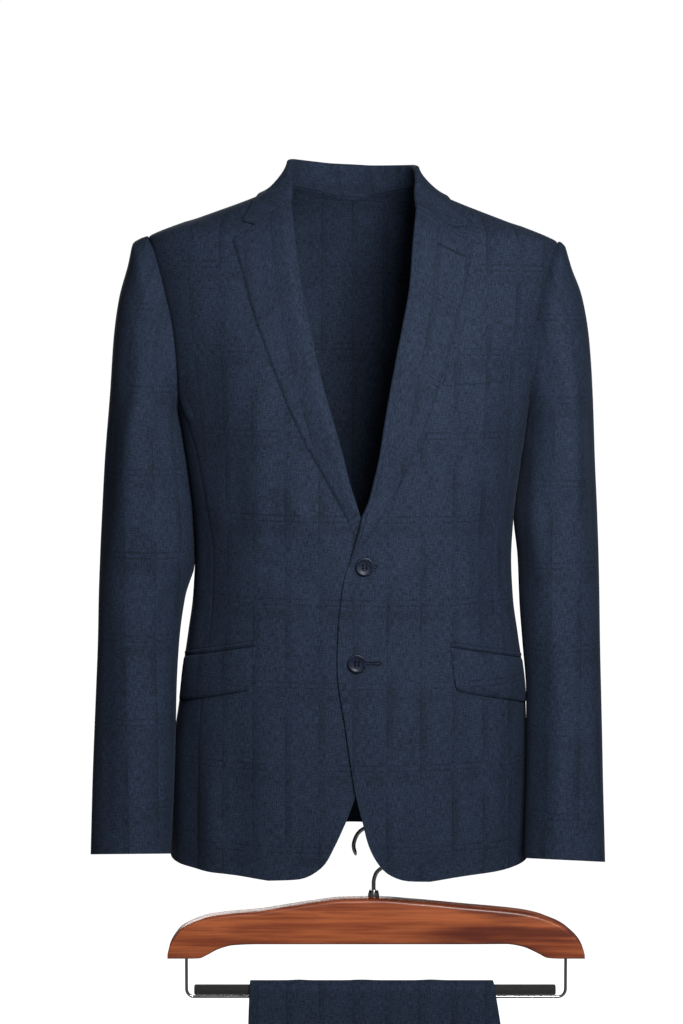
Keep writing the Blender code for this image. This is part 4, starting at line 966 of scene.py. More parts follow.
@dataclass(frozen=True)
class Panels:
    """Fronts, side bodies and backs."""

    thick: float = 0.0014
    tuck_in: float = 0.00015      # how far one edge runs under the next
    lap: float = 0.0036
    lap_edge: float = 0.062
    lap_fade: float = 0.032
    lap_top: float = -0.335
    lap_over: float = 0.035
    turn_room: float = 0.0032
    under_arm: float = 0.03       # how far below the armhole the folds reach the side seam
    past_seam: float = 0.032      # and how far behind it they fade
    edge_fade: float = 0.02       # the folds fade over this much beside a front's edges
    back_fade: Pair = (0.008, 0.01)      # and over these beside the back's two long edges
    rows_each: int = 6
    cols_each: int = 9
    # x towards the side, z
    right_folds: tuple[Fold, ...] = fold_rows(
        (0.16, -0.16, 0.15, -0.35, 0.024, -0.0064, 0.004),
        (0.1, -0.215, 0.107, -0.385, 0.015, 0.0022, -0.004),
        (0.126, -0.25, 0.128, -0.43, 0.015, -0.0026), (0.058, -0.3, 0.05, -0.395, 0.02, 0.0018),
        (0.006, -0.425, 0.088, -0.322, 0.0095, 0.0015, 0.004),
        (0.018, -0.455, 0.112, -0.405, 0.01, -0.0014, 0.003),
        (0.158, -0.35, 0.152, -0.54, 0.026, -0.0044), (0.15, -0.64, 0.153, -0.775, 0.012, 0.003),
        (0.172, -0.6, 0.174, -0.775, 0.014, -0.0034), (0.124, -0.59, 0.126, -0.775, 0.017, -0.0022),
        (0.095, -0.57, 0.097, -0.77, 0.018, 0.0016), (0.045, -0.56, 0.052, -0.77, 0.024, -0.0012))
    left_folds: tuple[Fold, ...] = fold_rows(
        (0.168, -0.16, 0.164, -0.32, 0.015, -0.0036, 0.003),
        (0.118, -0.125, 0.012, -0.392, 0.0095, -0.0034, 0.0121),
        (0.127, -0.322, 0.119, -0.525, 0.0046, 0.001), (0.152, -0.33, 0.154, -0.51, 0.023, -0.0046),
        (0.02, -0.405, 0.09, -0.33, 0.009, -0.0013, 0.004),
        (0.03, -0.43, 0.12, -0.385, 0.01, 0.0012, 0.003), (0.06, -0.2, 0.072, -0.3, 0.024, 0.0014),
        (0.152, -0.6, 0.155, -0.775, 0.014, 0.0018), (0.12, -0.6, 0.124, -0.775, 0.017, -0.0014),
        (0.06, -0.56, 0.062, -0.775, 0.024, 0.0012))
    # distance from the centre back, z
    back_folds: tuple[Fold, ...] = fold_rows(
        (0.02, -0.052, 0.105, -0.06, 0.009, -0.0018, -0.004),
        (0.158, -0.12, 0.152, -0.31, 0.015, 0.0034, 0.006), (0.126, -0.14, 0.118, -0.33, 0.015, -0.003),
        (0.03, -0.4, 0.115, -0.372, 0.01, -0.002, 0.004),
        (0.04, -0.432, 0.128, -0.422, 0.009, 0.0018, -0.003), (0.07, -0.54, 0.075, -0.76, 0.02, 0.0022),
        (0.115, -0.58, 0.12, -0.76, 0.016, -0.0024), (0.03, -0.56, 0.028, -0.76, 0.018, -0.0014))

    def relief(self, side: Side, turn: Array, z: Array, top: Optional[Array] = None) -> Array:
        """How far the folds lift the cloth off the form.

        Args:
            side: the wearer's side.
            turn: angles from the front, unsigned.
            z: heights.
            top: where the armhole ends, if not where the side seam starts.

        Returns:
            The lift, which runs over the side seam below the armhole and fades behind it.
        """
        top = BODY.front_seam[0][0] if top is None else top
        bare = BODY.point(turn, z)
        seam = np.radians(column(BODY.front_seam, 1)(z))
        room = (seam - turn) * np.linalg.norm(bare[..., :2], axis=-1)
        under = smooth((top - z) / self.under_arm) * smooth(1 + room / self.past_seam)
        folds = self.left_folds if side is Side.LEFT else self.right_folds
        return pressed(folds, bare[..., 0], z) * np.maximum(smooth(room / self.edge_fade), under)

    def lap_out(self, turn: Array, z: Array) -> Array:
        """How far the left front stands off where it lies over the right one."""
        x = BODY.point(turn, z)[..., 0]
        return (self.lap * smooth((self.lap_edge - x) / self.lap_fade)
                * smooth((self.lap_top - z) / self.lap_over))

    def tail_share(self, cut: FrontCut, z: Array) -> Array:
        """1 along the lapel, easing to 0 where it runs out."""
        return smooth((z - cut.tail) / cut.tail_over)

    def roll_line(self, side: Side) -> Array:
        """Where the front starts to turn into the lapel, as x and z."""
        cut = CUTS[side]
        p = np.array(cut.roll, float)
        p[0] = cut.gorge[0]
        p[:, 0] += self.turn_room * self.tail_share(cut, p[:, 1])
        return along(p, ROLL_STEPS * DENSE)

    def front_neck(self, side: Side) -> Array:
        """Neck seam from the gorge to the shoulder seam as angle and height."""
        start, end = BODY.flat(self.roll_line(side)[:1])[0], np.array((math.pi / 2, BODY.neck[1]))
        return end + (start - end) * np.linspace(1, 0, FRONT_NECK_STEPS * DENSE + 1)[:, None]

    def nape(self) -> Array:
        """Neck seam from the shoulder seam to the centre back as angle and height."""
        t = np.linspace(0, 1, NECK_STEPS * DENSE + 1)
        return np.stack([math.pi / 2 * (1 + t), BODY.neck[1] - BODY.back_drop * t ** 2], -1)

    def shoulder_seam(self) -> Array:
        """Shoulder seam from the neck outwards as angle and height."""
        x = np.linspace(BODY.neck[0], BODY.shoulder[0], SHOULDER_STEPS * DENSE + 1)
        ridge = Curve([r[1] for r in BODY.rows[1:5]], [r[0] for r in BODY.rows[1:5]])
        return np.stack([np.full_like(x, math.pi / 2), ridge(x)], -1)

    def long_seam(self, table: Table, turn: float) -> Array:
        """Seam from the armhole to the hem as angle and height.

        Args:
            table: the seam's rows.
            turn: its angle at the armhole, in degrees.

        Returns:
            The seam, from the top down.
        """
        start = BODY.armhole(np.array([turn]))[0]
        seam = column(table, 1)
        end = math.radians(float(seam(-0.75)))
        z = np.linspace(start[1], float(BODY.hem(end)), SEAM_STEPS * DENSE + 1)
        angle = np.radians(seam(z))
        angle[0] = start[0]
        return np.stack([angle, z], -1)

    def arm_edge(self, first: float, last: float, count: int) -> Array:
        """Stretch of the armhole between two turns, in degrees."""
        return BODY.armhole(np.linspace(first, last, count * DENSE + 1))

    def front(self, side: Side) -> bpy.types.Object:
        """One front, from the shoulder seam to the cut-away hem."""
        cut = CUTS[side]
        roll = self.roll_line(side)
        inner = chain(self.front_neck(side)[::-1], BODY.flat(roll),
                      BODY.flat(along((roll[-1], *cut.edge), EDGE_STEPS * DENSE)),
                      BODY.flat(along(cut.cutaway, CUT_STEPS * DENSE)))
        outer = chain(self.arm_edge(0, BODY.front_seam_turn, ARM_STEPS),
                      self.long_seam(BODY.front_seam, BODY.front_seam_turn))
        low = BODY.flat(along(cut.hem, SHOULDER_STEPS * DENSE))
        low[-1] = outer[-1]
        rows = steps((ARM_STEPS + SEAM_STEPS) * self.rows_each)
        grid = blend((self.shoulder_seam(), low, inner, outer), steps(SHOULDER_STEPS * self.cols_each),
                     rows, BODY.point)
        turn, z = grid[..., 0], grid[..., 1]
        bare = BODY.point(turn, z)
        across, down = reach_along(bare, 1), reach_along(bare, 0)
        to_seam = across[:, -1:] - across
        out = seam_line(to_seam) + seam_line(down)
        under = smooth((BODY.front_seam[0][0] - z) / self.under_arm)
        free = np.maximum(smooth(to_seam / self.edge_fade), under)
        out = out + self.relief(side, turn, z) * smooth(across / self.edge_fade) * free
        turn = turn * side.value
        if side is Side.LEFT:
            out = out + self.lap_out(turn, z)
        return self.panel(f"front_{side.word}", turn, z, out, "ot")

    def side(self, side: Side) -> bpy.types.Object:
        """Side body between the front and back seams."""
        inner = self.long_seam(BODY.front_seam, BODY.front_seam_turn)
        outer = self.long_seam(BODY.back_seam, BODY.back_seam_turn)
        turns = np.linspace(inner[-1, 0], outer[-1, 0], 5 * DENSE + 1)
        edges = (self.arm_edge(BODY.front_seam_turn, BODY.back_seam_turn, 5),
                 np.stack([turns, BODY.hem(turns)], -1), inner, outer)
        grid = blend(edges, steps(30), steps(SEAM_STEPS * self.rows_each), BODY.point)
        turn, z = grid[..., 0], grid[..., 1]
        bare = BODY.point(turn, z)
        across = reach_along(bare, 1)
        out = sewn_sides(across) + self.relief(side, turn, z, z[:1])
        return self.panel(f"side_{side.word}", turn * side.value, z, out, "io")

    def back(self, side: Side) -> bpy.types.Object:
        """One half of the back, with its half of the centre seam."""
        neck = self.nape()[::-1]
        z = np.linspace(neck[0, 1], float(BODY.hem(math.pi)), (ARM_STEPS + SEAM_STEPS) * DENSE + 1)
        outer = chain(self.arm_edge(360, BODY.back_seam_turn, ARM_STEPS),
                      self.long_seam(BODY.back_seam, BODY.back_seam_turn))
        turns = np.linspace(math.pi, outer[-1, 0], (NECK_STEPS + SHOULDER_STEPS) * DENSE + 1)
        edges = (chain(neck, self.shoulder_seam()), np.stack([turns, BODY.hem(turns)], -1),
                 np.stack([np.full_like(z, math.pi), z], -1), outer)
        grid = blend(edges, steps((NECK_STEPS + SHOULDER_STEPS) * 5),
                     steps((ARM_STEPS + SEAM_STEPS) * self.rows_each), BODY.point)
        turn, z = grid[..., 0], grid[..., 1]
        bare = BODY.point(turn, z)
        across, down = reach_along(bare, 1), reach_along(bare, 0)
        out = sewn_sides(across) + seam_line(down)
        centre, seam = self.back_fade
        edge = smooth(across / centre) * smooth((across[:, -1:] - across) / seam)
        out = out + pressed(self.back_folds, across, z) * edge
        threads = np.stack([across * side.value, z[-1:] + down[-1:] - down], -1)
        return self.panel(f"back_{side.word}", turn * side.value, z, out, "iot", threads)

    def panel(self, name: str, turn: Array, z: Array, out: Array, seams: str,
              threads: Optional[Array] = None) -> bpy.types.Object:
        """Lays one panel on the body.

        Args:
            name: the piece's name.
            turn: its grid's angles.
            z: its grid's heights.
            out: how far it stands off the form.
            seams: letters of the edges that are sewn: i inner, o outer, t top.
            threads: its places in the weave, or none for the form's own.

        Returns:
            The piece.
        """
        face = BODY.above(turn, z, out)
        for letter, edge, inside in (("i", 0, 1), ("o", -1, -2)):
            if letter in seams:
                face[:, edge] += self.tuck_in * unit(face[:, edge] - face[:, inside])
        if "t" in seams:
            face[0] += self.tuck_in * unit(face[0] - face[1])
        threads = BODY.threads(turn, z) if threads is None else threads
        return cloth_piece(name, face, threads, BODY.normal(turn, z), self.thick)


PANELS = Panels()


@dataclass(frozen=True)
class Sleeves:
    """Two-piece sleeves, hanging a little forward, with their folds."""

    thick: float = 0.0014
    # outer x, z, inner x, z, mid y, half depth, squareness
    right_rows: Table = (
        (0.225, -0.0629, 0.1915, -0.27, 0.0045, 0.0565, 2.0),
        (0.2335, -0.0634, 0.1905, -0.2716, 0.0045, 0.0605, 2.0),
        (0.2422, -0.0678, 0.1895, -0.2736, 0.0045, 0.066, 2.0),
        (0.2487, -0.0966, 0.1886, -0.2765, 0.0045, 0.0705, 2.1),
        (0.2584, -0.1323, 0.188, -0.28, 0.004, 0.0735, 2.1),
        (0.2645, -0.175, 0.1868, -0.285, 0.004, 0.0755, 2.1),
        (0.2687, -0.2352, 0.1855, -0.295, 0.002, 0.0765, 2.2),
        (0.275, -0.31, 0.1808, -0.315, 0.0, 0.0755, 2.2),
        (0.278, -0.362, 0.174, -0.364, -0.004, 0.0725, 2.2),
        (0.2803, -0.4131, 0.1738, -0.415, -0.01, 0.069, 2.2),
        (0.2815, -0.462, 0.1862, -0.462, -0.017, 0.066, 2.2),
        (0.2822, -0.5094, 0.1925, -0.509, -0.024, 0.063, 2.2),
        (0.2838, -0.56, 0.1952, -0.56, -0.033, 0.06, 2.2),
        (0.2855, -0.61, 0.196, -0.61, -0.042, 0.0575, 2.2),
        (0.287, -0.66, 0.1972, -0.66, -0.051, 0.055, 2.2),
        (0.2878, -0.705, 0.199, -0.705, -0.06, 0.0525, 2.2),
        (0.2884, -0.7408, 0.2008, -0.7392, -0.067, 0.0505, 2.2))
    left_rows: Table = (
        (0.225, -0.0629, 0.1915, -0.27, 0.0045, 0.0565, 2.0),
        (0.229, -0.063, 0.1905, -0.2716, 0.0045, 0.0605, 2.0),
        (0.2335, -0.066, 0.1895, -0.2736, 0.0045, 0.066, 2.0),
        (0.2418, -0.0937, 0.1886, -0.2765, 0.0045, 0.0705, 2.1),
        (0.2525, -0.123, 0.188, -0.28, 0.004, 0.0735, 2.1),
        (0.261, -0.172, 0.1868, -0.285, 0.004, 0.0755, 2.1),
        (0.2652, -0.235, 0.1858, -0.295, 0.002, 0.0765, 2.2),
        (0.268, -0.306, 0.184, -0.315, 0.0, 0.0755, 2.2),
        (0.2705, -0.36, 0.178, -0.364, -0.004, 0.0725, 2.2),
        (0.2719, -0.4063, 0.1828, -0.415, -0.01, 0.069, 2.2),
        (0.2727, -0.46, 0.1845, -0.462, -0.017, 0.066, 2.2),
        (0.2731, -0.506, 0.1876, -0.506, -0.024, 0.063, 2.2),
        (0.2739, -0.56, 0.1914, -0.56, -0.034, 0.06, 2.2),
        (0.2746, -0.61, 0.1914, -0.61, -0.044, 0.0575, 2.2),
        (0.2752, -0.66, 0.1905, -0.66, -0.053, 0.055, 2.2),
        (0.276, -0.705, 0.189, -0.705, -0.062, 0.0525, 2.2),
        (0.2767, -0.7435, 0.188, -0.74, -0.069, 0.0505, 2.2))
    clear: float = 0.0003
    clear_rows: float = 3.0
    head_rows: float = 5.0
    slant: float = 0.205
    slant_rows: Pair = (12.0, 16.0)
    lean_share: float = 0.7
    per_degree: float = 0.001    # metres round the sleeve for each degree
    roping: float = 0.0012        # the fulled ridge below the head's seam
    roping_at: float = 0.008
    roping_width: float = 0.006
    roping_front: Pair = (110.0, 60.0)   # degrees from the outer line where it ends, and its fade
    roping_gap: Pair = (12.0, 30.0)      # and where it is faint at the top, and the fade there
    roping_least: float = 0.15
    calm_inside: float = 38.0     # degrees from the inner line over which folds fade
    calm_head: float = 0.02       # and metres below the head
    top_columns: int = 66
    under_columns: int = 24
    length_rows: int = 130
    near_ends: Triple = (0.15, 0.35, 0.7)
    probe_turn: float = 0.8       # degrees and rows across which the face's slope is read
    probe_row: float = 0.05
    tuck: float = 0.001           # how far the head runs under the armhole's edge
    tuck_behind: float = 0.0014   # and how much further behind the arm
    tuck_least: float = 0.2       # share of it at the inner line
    # height, the arm's middle x, half width, half depth
    heart: Table = (
        (-0.06, 0.2255, 0.012, 0.024), (-0.09, 0.2257, 0.02, 0.044), (-0.13, 0.226, 0.029, 0.06),
        (-0.19, 0.2265, 0.037, 0.072), (-0.27, 0.227, 0.04, 0.0765), (-0.37, 0.226, 0.045, 0.0725),
        (-0.46, 0.231, 0.047, 0.066), (-0.61, 0.236, 0.044, 0.0575), (-0.76, 0.24, 0.044, 0.05))
    top_range: Pair = (-94.0, 175.0)
    under_range: Pair = (175.0, 266.0)
    # distance round the sleeve from its outer line towards the front, z
    right_folds: tuple[Fold, ...] = fold_rows(
        (0.074, -0.1, 0.07, -0.27, 0.03, -0.0044, 0.003), (0.112, -0.075, 0.122, -0.18, 0.017, 0.0034),
        (0.126, -0.095, 0.146, -0.25, 0.014, 0.003), (0.078, -0.19, 0.058, -0.42, 0.013, 0.004, 0.003),
        (0.112, -0.235, 0.13, -0.37, 0.013, -0.0044), (0.152, -0.205, 0.153, -0.33, 0.009, 0.003),
        (0.04, -0.24, 0.026, -0.43, 0.015, -0.0034), (0.096, -0.37, 0.116, -0.48, 0.012, 0.003),
        (0.13, -0.43, 0.11, -0.6, 0.013, -0.0026), (0.086, -0.47, 0.094, -0.76, 0.015, 0.003),
        (0.048, -0.47, 0.055, -0.73, 0.015, -0.0026), (0.126, -0.6, 0.128, -0.76, 0.012, -0.0016),
        (0.23, -0.34, 0.29, -0.405, 0.0085, -0.0036, 0.003),
        (0.226, -0.38, 0.294, -0.428, 0.008, 0.0032, 0.003),
        (0.232, -0.418, 0.286, -0.46, 0.0085, -0.003), (0.275, -0.13, 0.268, -0.31, 0.015, 0.003),
        (0.3, -0.47, 0.292, -0.72, 0.015, 0.0022))
    left_folds: tuple[Fold, ...] = fold_rows(
        (0.104, -0.11, 0.094, -0.26, 0.013, -0.0018, -0.003),
        (0.138, -0.09, 0.152, -0.29, 0.011, 0.0028),
        (0.152, -0.243, 0.1, -0.236, 0.0045, -0.0014, 0.002), (0.072, -0.18, 0.064, -0.4, 0.014, 0.0028),
        (0.038, -0.22, 0.032, -0.42, 0.015, -0.0028), (0.13, -0.29, 0.12, -0.45, 0.0115, 0.003),
        (0.106, -0.38, 0.098, -0.56, 0.013, 0.0022), (0.098, -0.5, 0.104, -0.765, 0.014, 0.003),
        (0.066, -0.47, 0.062, -0.74, 0.015, -0.0022), (0.134, -0.5, 0.138, -0.74, 0.013, -0.0018),
        (0.232, -0.33, 0.292, -0.392, 0.0085, -0.0034, 0.003),
        (0.228, -0.368, 0.296, -0.42, 0.008, 0.003, 0.003),
        (0.234, -0.408, 0.284, -0.452, 0.0085, -0.0028), (0.272, -0.14, 0.266, -0.32, 0.015, 0.003),
        (0.298, -0.49, 0.29, -0.73, 0.015, 0.0022))

    def form(self, rows: Table, turn: Array, tau: Array) -> Array:
        """Outer face before it is fitted to the armhole.

        Args:
            rows: the sleeve's table.
            turn: angle round the arm, 0 outside, in degrees.
            tau: row of the table, or a share between two.

        Returns:
            Points of the face.
        """
        keys = np.arange(len(rows))
        ox, oz, ix, iz, ym, hd, pw = (Curve(keys, [r[c] for r in rows])(tau) for c in range(7))
        f = np.radians(turn)
        c, s = np.cos(f), np.sin(f)
        rho = (np.abs(c) ** pw + np.abs(s) ** pw) ** (-1 / pw)
        c, s = c * rho, s * rho
        first, last = self.slant_rows
        slant = self.slant * hd * s * smooth((tau - first) / (last - first))
        return np.stack([(ox + ix) / 2 + (ox - ix) / 2 * c, ym - hd * s,
                         (oz + iz) / 2 + (oz - iz) / 2 * c + slant], -1)

    def fitted(self, rows: Table, turn: Array, tau: Array) -> Array:
        """Outer face [row, column], drawn to the armhole and kept off the body.

        Args:
            rows: the sleeve's table.
            turn: the columns' angles, in degrees.
            tau: the rows' places in the table.

        Returns:
            Points of the face.
        """
        p = self.form(rows, turn[None, :], tau[:, None])
        hole = BODY.armhole(turn % 360)
        miss = BODY.point(hole[:, 0], hole[:, 1]) - self.form(rows, turn, np.zeros_like(turn))
        p = p + (np.clip(1 - tau / self.head_rows, 0, 1) ** 2)[:, None, None] * miss[None]
        clear = self.clear * smooth(tau / self.clear_rows)[:, None]
        p[..., 0] = np.maximum(p[..., 0], BODY.side_reach(p[..., 1], p[..., 2]) + clear)
        return p

    def threads(self, rows: Table, turn: Array, face: Array, side: Side) -> Array:
        """Place in the weave: level distance round the arm from its outer line, and height.

        Args:
            rows: the sleeve's table.
            turn: the columns' angles, in degrees.
            face: points of the outer face.
            side: which arm.

        Returns:
            The place of each point, in metres.
        """
        x, y, z = face[..., 0] * side.value, face[..., 1], face[..., 2]
        mid_x, wide, deep = (column(self.heart, c)(z) for c in (1, 2, 3))
        mid_y = column(tuple((r[1], r[4]) for r in rows[6:]), 1)(z)
        angle = np.arctan2((mid_y - y) / deep, (x - mid_x) / wide)
        angle += 2 * math.pi * np.round((np.radians(turn)[None] - angle) / (2 * math.pi))
        half_turns = np.round(angle / math.pi)
        swung = 2 * half_turns + np.cos(half_turns * math.pi) * np.sin(angle)
        outer = self.form(rows, np.zeros(1), np.linspace(0, 6, 200))
        over = walked(outer)
        down = np.interp(-z, -np.minimum.accumulate(outer[:, 2]), over)
        low = z < outer[-1, 2]
        down = np.where(low, over[-1] + outer[-1, 2] - z, down)
        return np.stack([(wide * angle + (deep - wide) * swung) * side.value, -down], -1)

    def piece(self, side: Side, part: str) -> bpy.types.Object:
        """The top or the under sleeve of one arm.

        Args:
            side: which arm.
            part: top or under.

        Returns:
            The piece.
        """
        rows = self.left_rows if side is Side.LEFT else self.right_rows
        folds = self.left_folds if side is Side.LEFT else self.right_folds
        first, last = self.top_range if part == "top" else self.under_range
        count = self.top_columns if part == "top" else self.under_columns
        turn = first + (last - first) * steps(count)
        tau = steps(self.length_rows, self.near_ends) * (len(rows) - 1)
        e, r = self.probe_turn, self.probe_row
        face = self.fitted(rows, turn, tau)
        wide = self.fitted(rows, turn + e, tau) - self.fitted(rows, turn - e, tau)
        low, high = np.maximum(tau - r, 0), np.minimum(tau + r, len(rows) - 1)
        long = self.fitted(rows, turn, high) - self.fitted(rows, turn, low)
        out = unit(np.cross(wide, long))
        across, down = reach_along(face, 1), reach_along(face, 0)
        round_arm = np.broadcast_to((turn % 360)[None] * self.per_degree, face.shape[:2])
        off_body = smooth(np.abs((turn % 360) - 180) / self.calm_inside)[None]
        height = pressed(folds, round_arm, face[..., 2]) * off_body * smooth(down / self.calm_head)
        height = height + sewn_sides(across)
        (front, fade), (gap, rise), least = self.roping_front, self.roping_gap, self.roping_least
        full = least + (1 - least) * smooth((np.abs(turn) - gap) / rise)
        roping = np.exp(-((down - self.roping_at) / self.roping_width) ** 2)
        height = height + self.roping * roping * (smooth((front - np.abs(turn)) / fade) * full)[None]
        height = height - SEAM_DEPTH * np.exp(-(down / SEAM_WIDTH) ** 2) * off_body
        face = face + height[..., None] * out
        tuck = self.tuck * (self.tuck_least + (1 - self.tuck_least) * off_body[0])
        tuck = tuck + self.tuck_behind * np.clip(-np.sin(np.radians(turn)), 0, 1) ** 2
        face[0] += tuck[:, None] * unit(face[0] - face[1])
        face[..., 0] *= side.value
        out[..., 0] *= side.value
        threads = self.threads(rows, turn, face, side)
        name = f"sleeve_{part}_{side.word}"
        return cloth_piece(name, face, threads, out, self.thick, low=self.lean_share)


@dataclass(frozen=True)
class Lapels:
    """Notched lapels that roll out of the fronts and run out at the top button."""

    radius: float = 0.0015
    thick: float = 0.0014
    edge_rise: float = 0.0024
    swell: float = 0.0016
    swell_width: float = 0.013
    rounded: float = 0.0018
    hole: tuple[Pair, Pair] = ((0.09, -0.0695), (0.1191, -0.082))

    def base(self, side: Side, turn: Array, z: Array) -> Array:
        """Height of the front's face under the lapel."""
        return PANELS.lap_out(turn, z) if side is Side.LEFT else np.zeros(np.shape(turn))

    def rise(self, across: Array, share: Array, tail: Array) -> Array:
        """Height of the lapel's face over the front.

        Args:
            across: distance from the roll.
            share: share of the way from the roll to the outer edge.
            tail: 1 along the lapel, 0 where it has run out.

        Returns:
            The height for each place.
        """
        at_roll = 2 * self.radius + self.thick
        flat = at_roll + (self.edge_rise - at_roll) * smooth(share * 1.1)
        flat = flat + self.swell * np.exp(-((across - 0.006) / self.swell_width) ** 2) * smooth(share * 6)
        return 0.0005 + (flat - 0.0005) * tail

    def grid(self, side: Side) -> Array:
        """The lapel's face as x and z, before it is laid on the body."""
        cut = CUTS[side]
        inner = PANELS.roll_line(side)
        outer = along(cut.lapel, ROLL_STEPS * DENSE)
        top = chain(along((tuple(inner[0]), cut.gorge[1]), GORGE_STEPS * DENSE),
                    along(cut.gorge[1:], NOTCH_STEPS * DENSE))
        low = along((inner[-1], outer[-1]), LAPEL_COLS * DENSE)
        return blend((top, low, inner, outer), steps(30), steps(ROLL_STEPS * 9))

    def lapel(self, side: Side) -> bpy.types.Object:
        """One lapel with its roll."""
        cut = CUTS[side]
        grid = self.grid(side)
        x, z = grid[..., 0], grid[..., 1]
        turn = BODY.front_turn(x, z) * side.value
        tail = PANELS.tail_share(cut, z)
        bare = BODY.point(turn, z)
        across = reach_along(bare, 1)
        share = across / np.maximum(across[:, -1:], 1e-6)
        turned_in = self.rounded * tail * np.exp(-((across[:, -1:] - across) / self.rounded) ** 2)
        over = BODY.above(turn, z, self.base(side, turn, z) + self.rise(across, share, tail) - turned_in)
        bend = np.linspace(0, math.pi, 9)[:-1]
        edge_z, edge_tail = z[:, :1], tail[:, :1]
        radius = 0.0002 + self.radius * edge_tail
        far = radius + self.thick * (0.3 + 0.7 * edge_tail)
        xs = x[:, :1] - far * np.sin(bend)[None]
        turns = BODY.front_turn(xs, edge_z) * side.value
        lift = self.base(side, turns, edge_z + 0 * xs) + radius - far * np.cos(bend)[None]
        rolled = BODY.above(turns, edge_z + 0 * xs, lift)
        face = np.concatenate([rolled, over], 1)
        out = BODY.normal(turn, z)
        inwards = np.array((-float(side.value), -0.2, 0.0))
        turned = (np.cos(bend)[None, :, None] * -out[:, :1] + np.sin(bend)[None, :, None] * inwards)
        threads = np.stack([reach_along(face, 1) * side.value, -reach_along(face, 0)[:, :1]
                            + 0 * face[..., 0]], -1)
        name = f"lapel_{side.word}"
        return cloth_piece(name, face, threads, np.concatenate([turned, out], 1), self.thick)

    def surface(self, side: Side, points: Sequence[Pair], lift: float) -> Array:
        """Places on a lapel's face, a little above it."""
        p = np.array(points, float)
        turn = BODY.front_turn(p[:, 0], p[:, 1]) * side.value
        roll = np.array(CUTS[side].roll)
        edge = np.array(CUTS[side].lapel)
        inside = np.interp(-p[:, 1], -roll[:, 1], roll[:, 0])
        outside = np.interp(-p[:, 1], -edge[:, 1], edge[:, 0])
        across = p[:, 0] - inside
        rise = self.rise(across, across / (outside - inside), np.ones(len(p)))
        return lean(BODY.above(turn, p[:, 1], rise + lift))


LAPELS = Lapels()


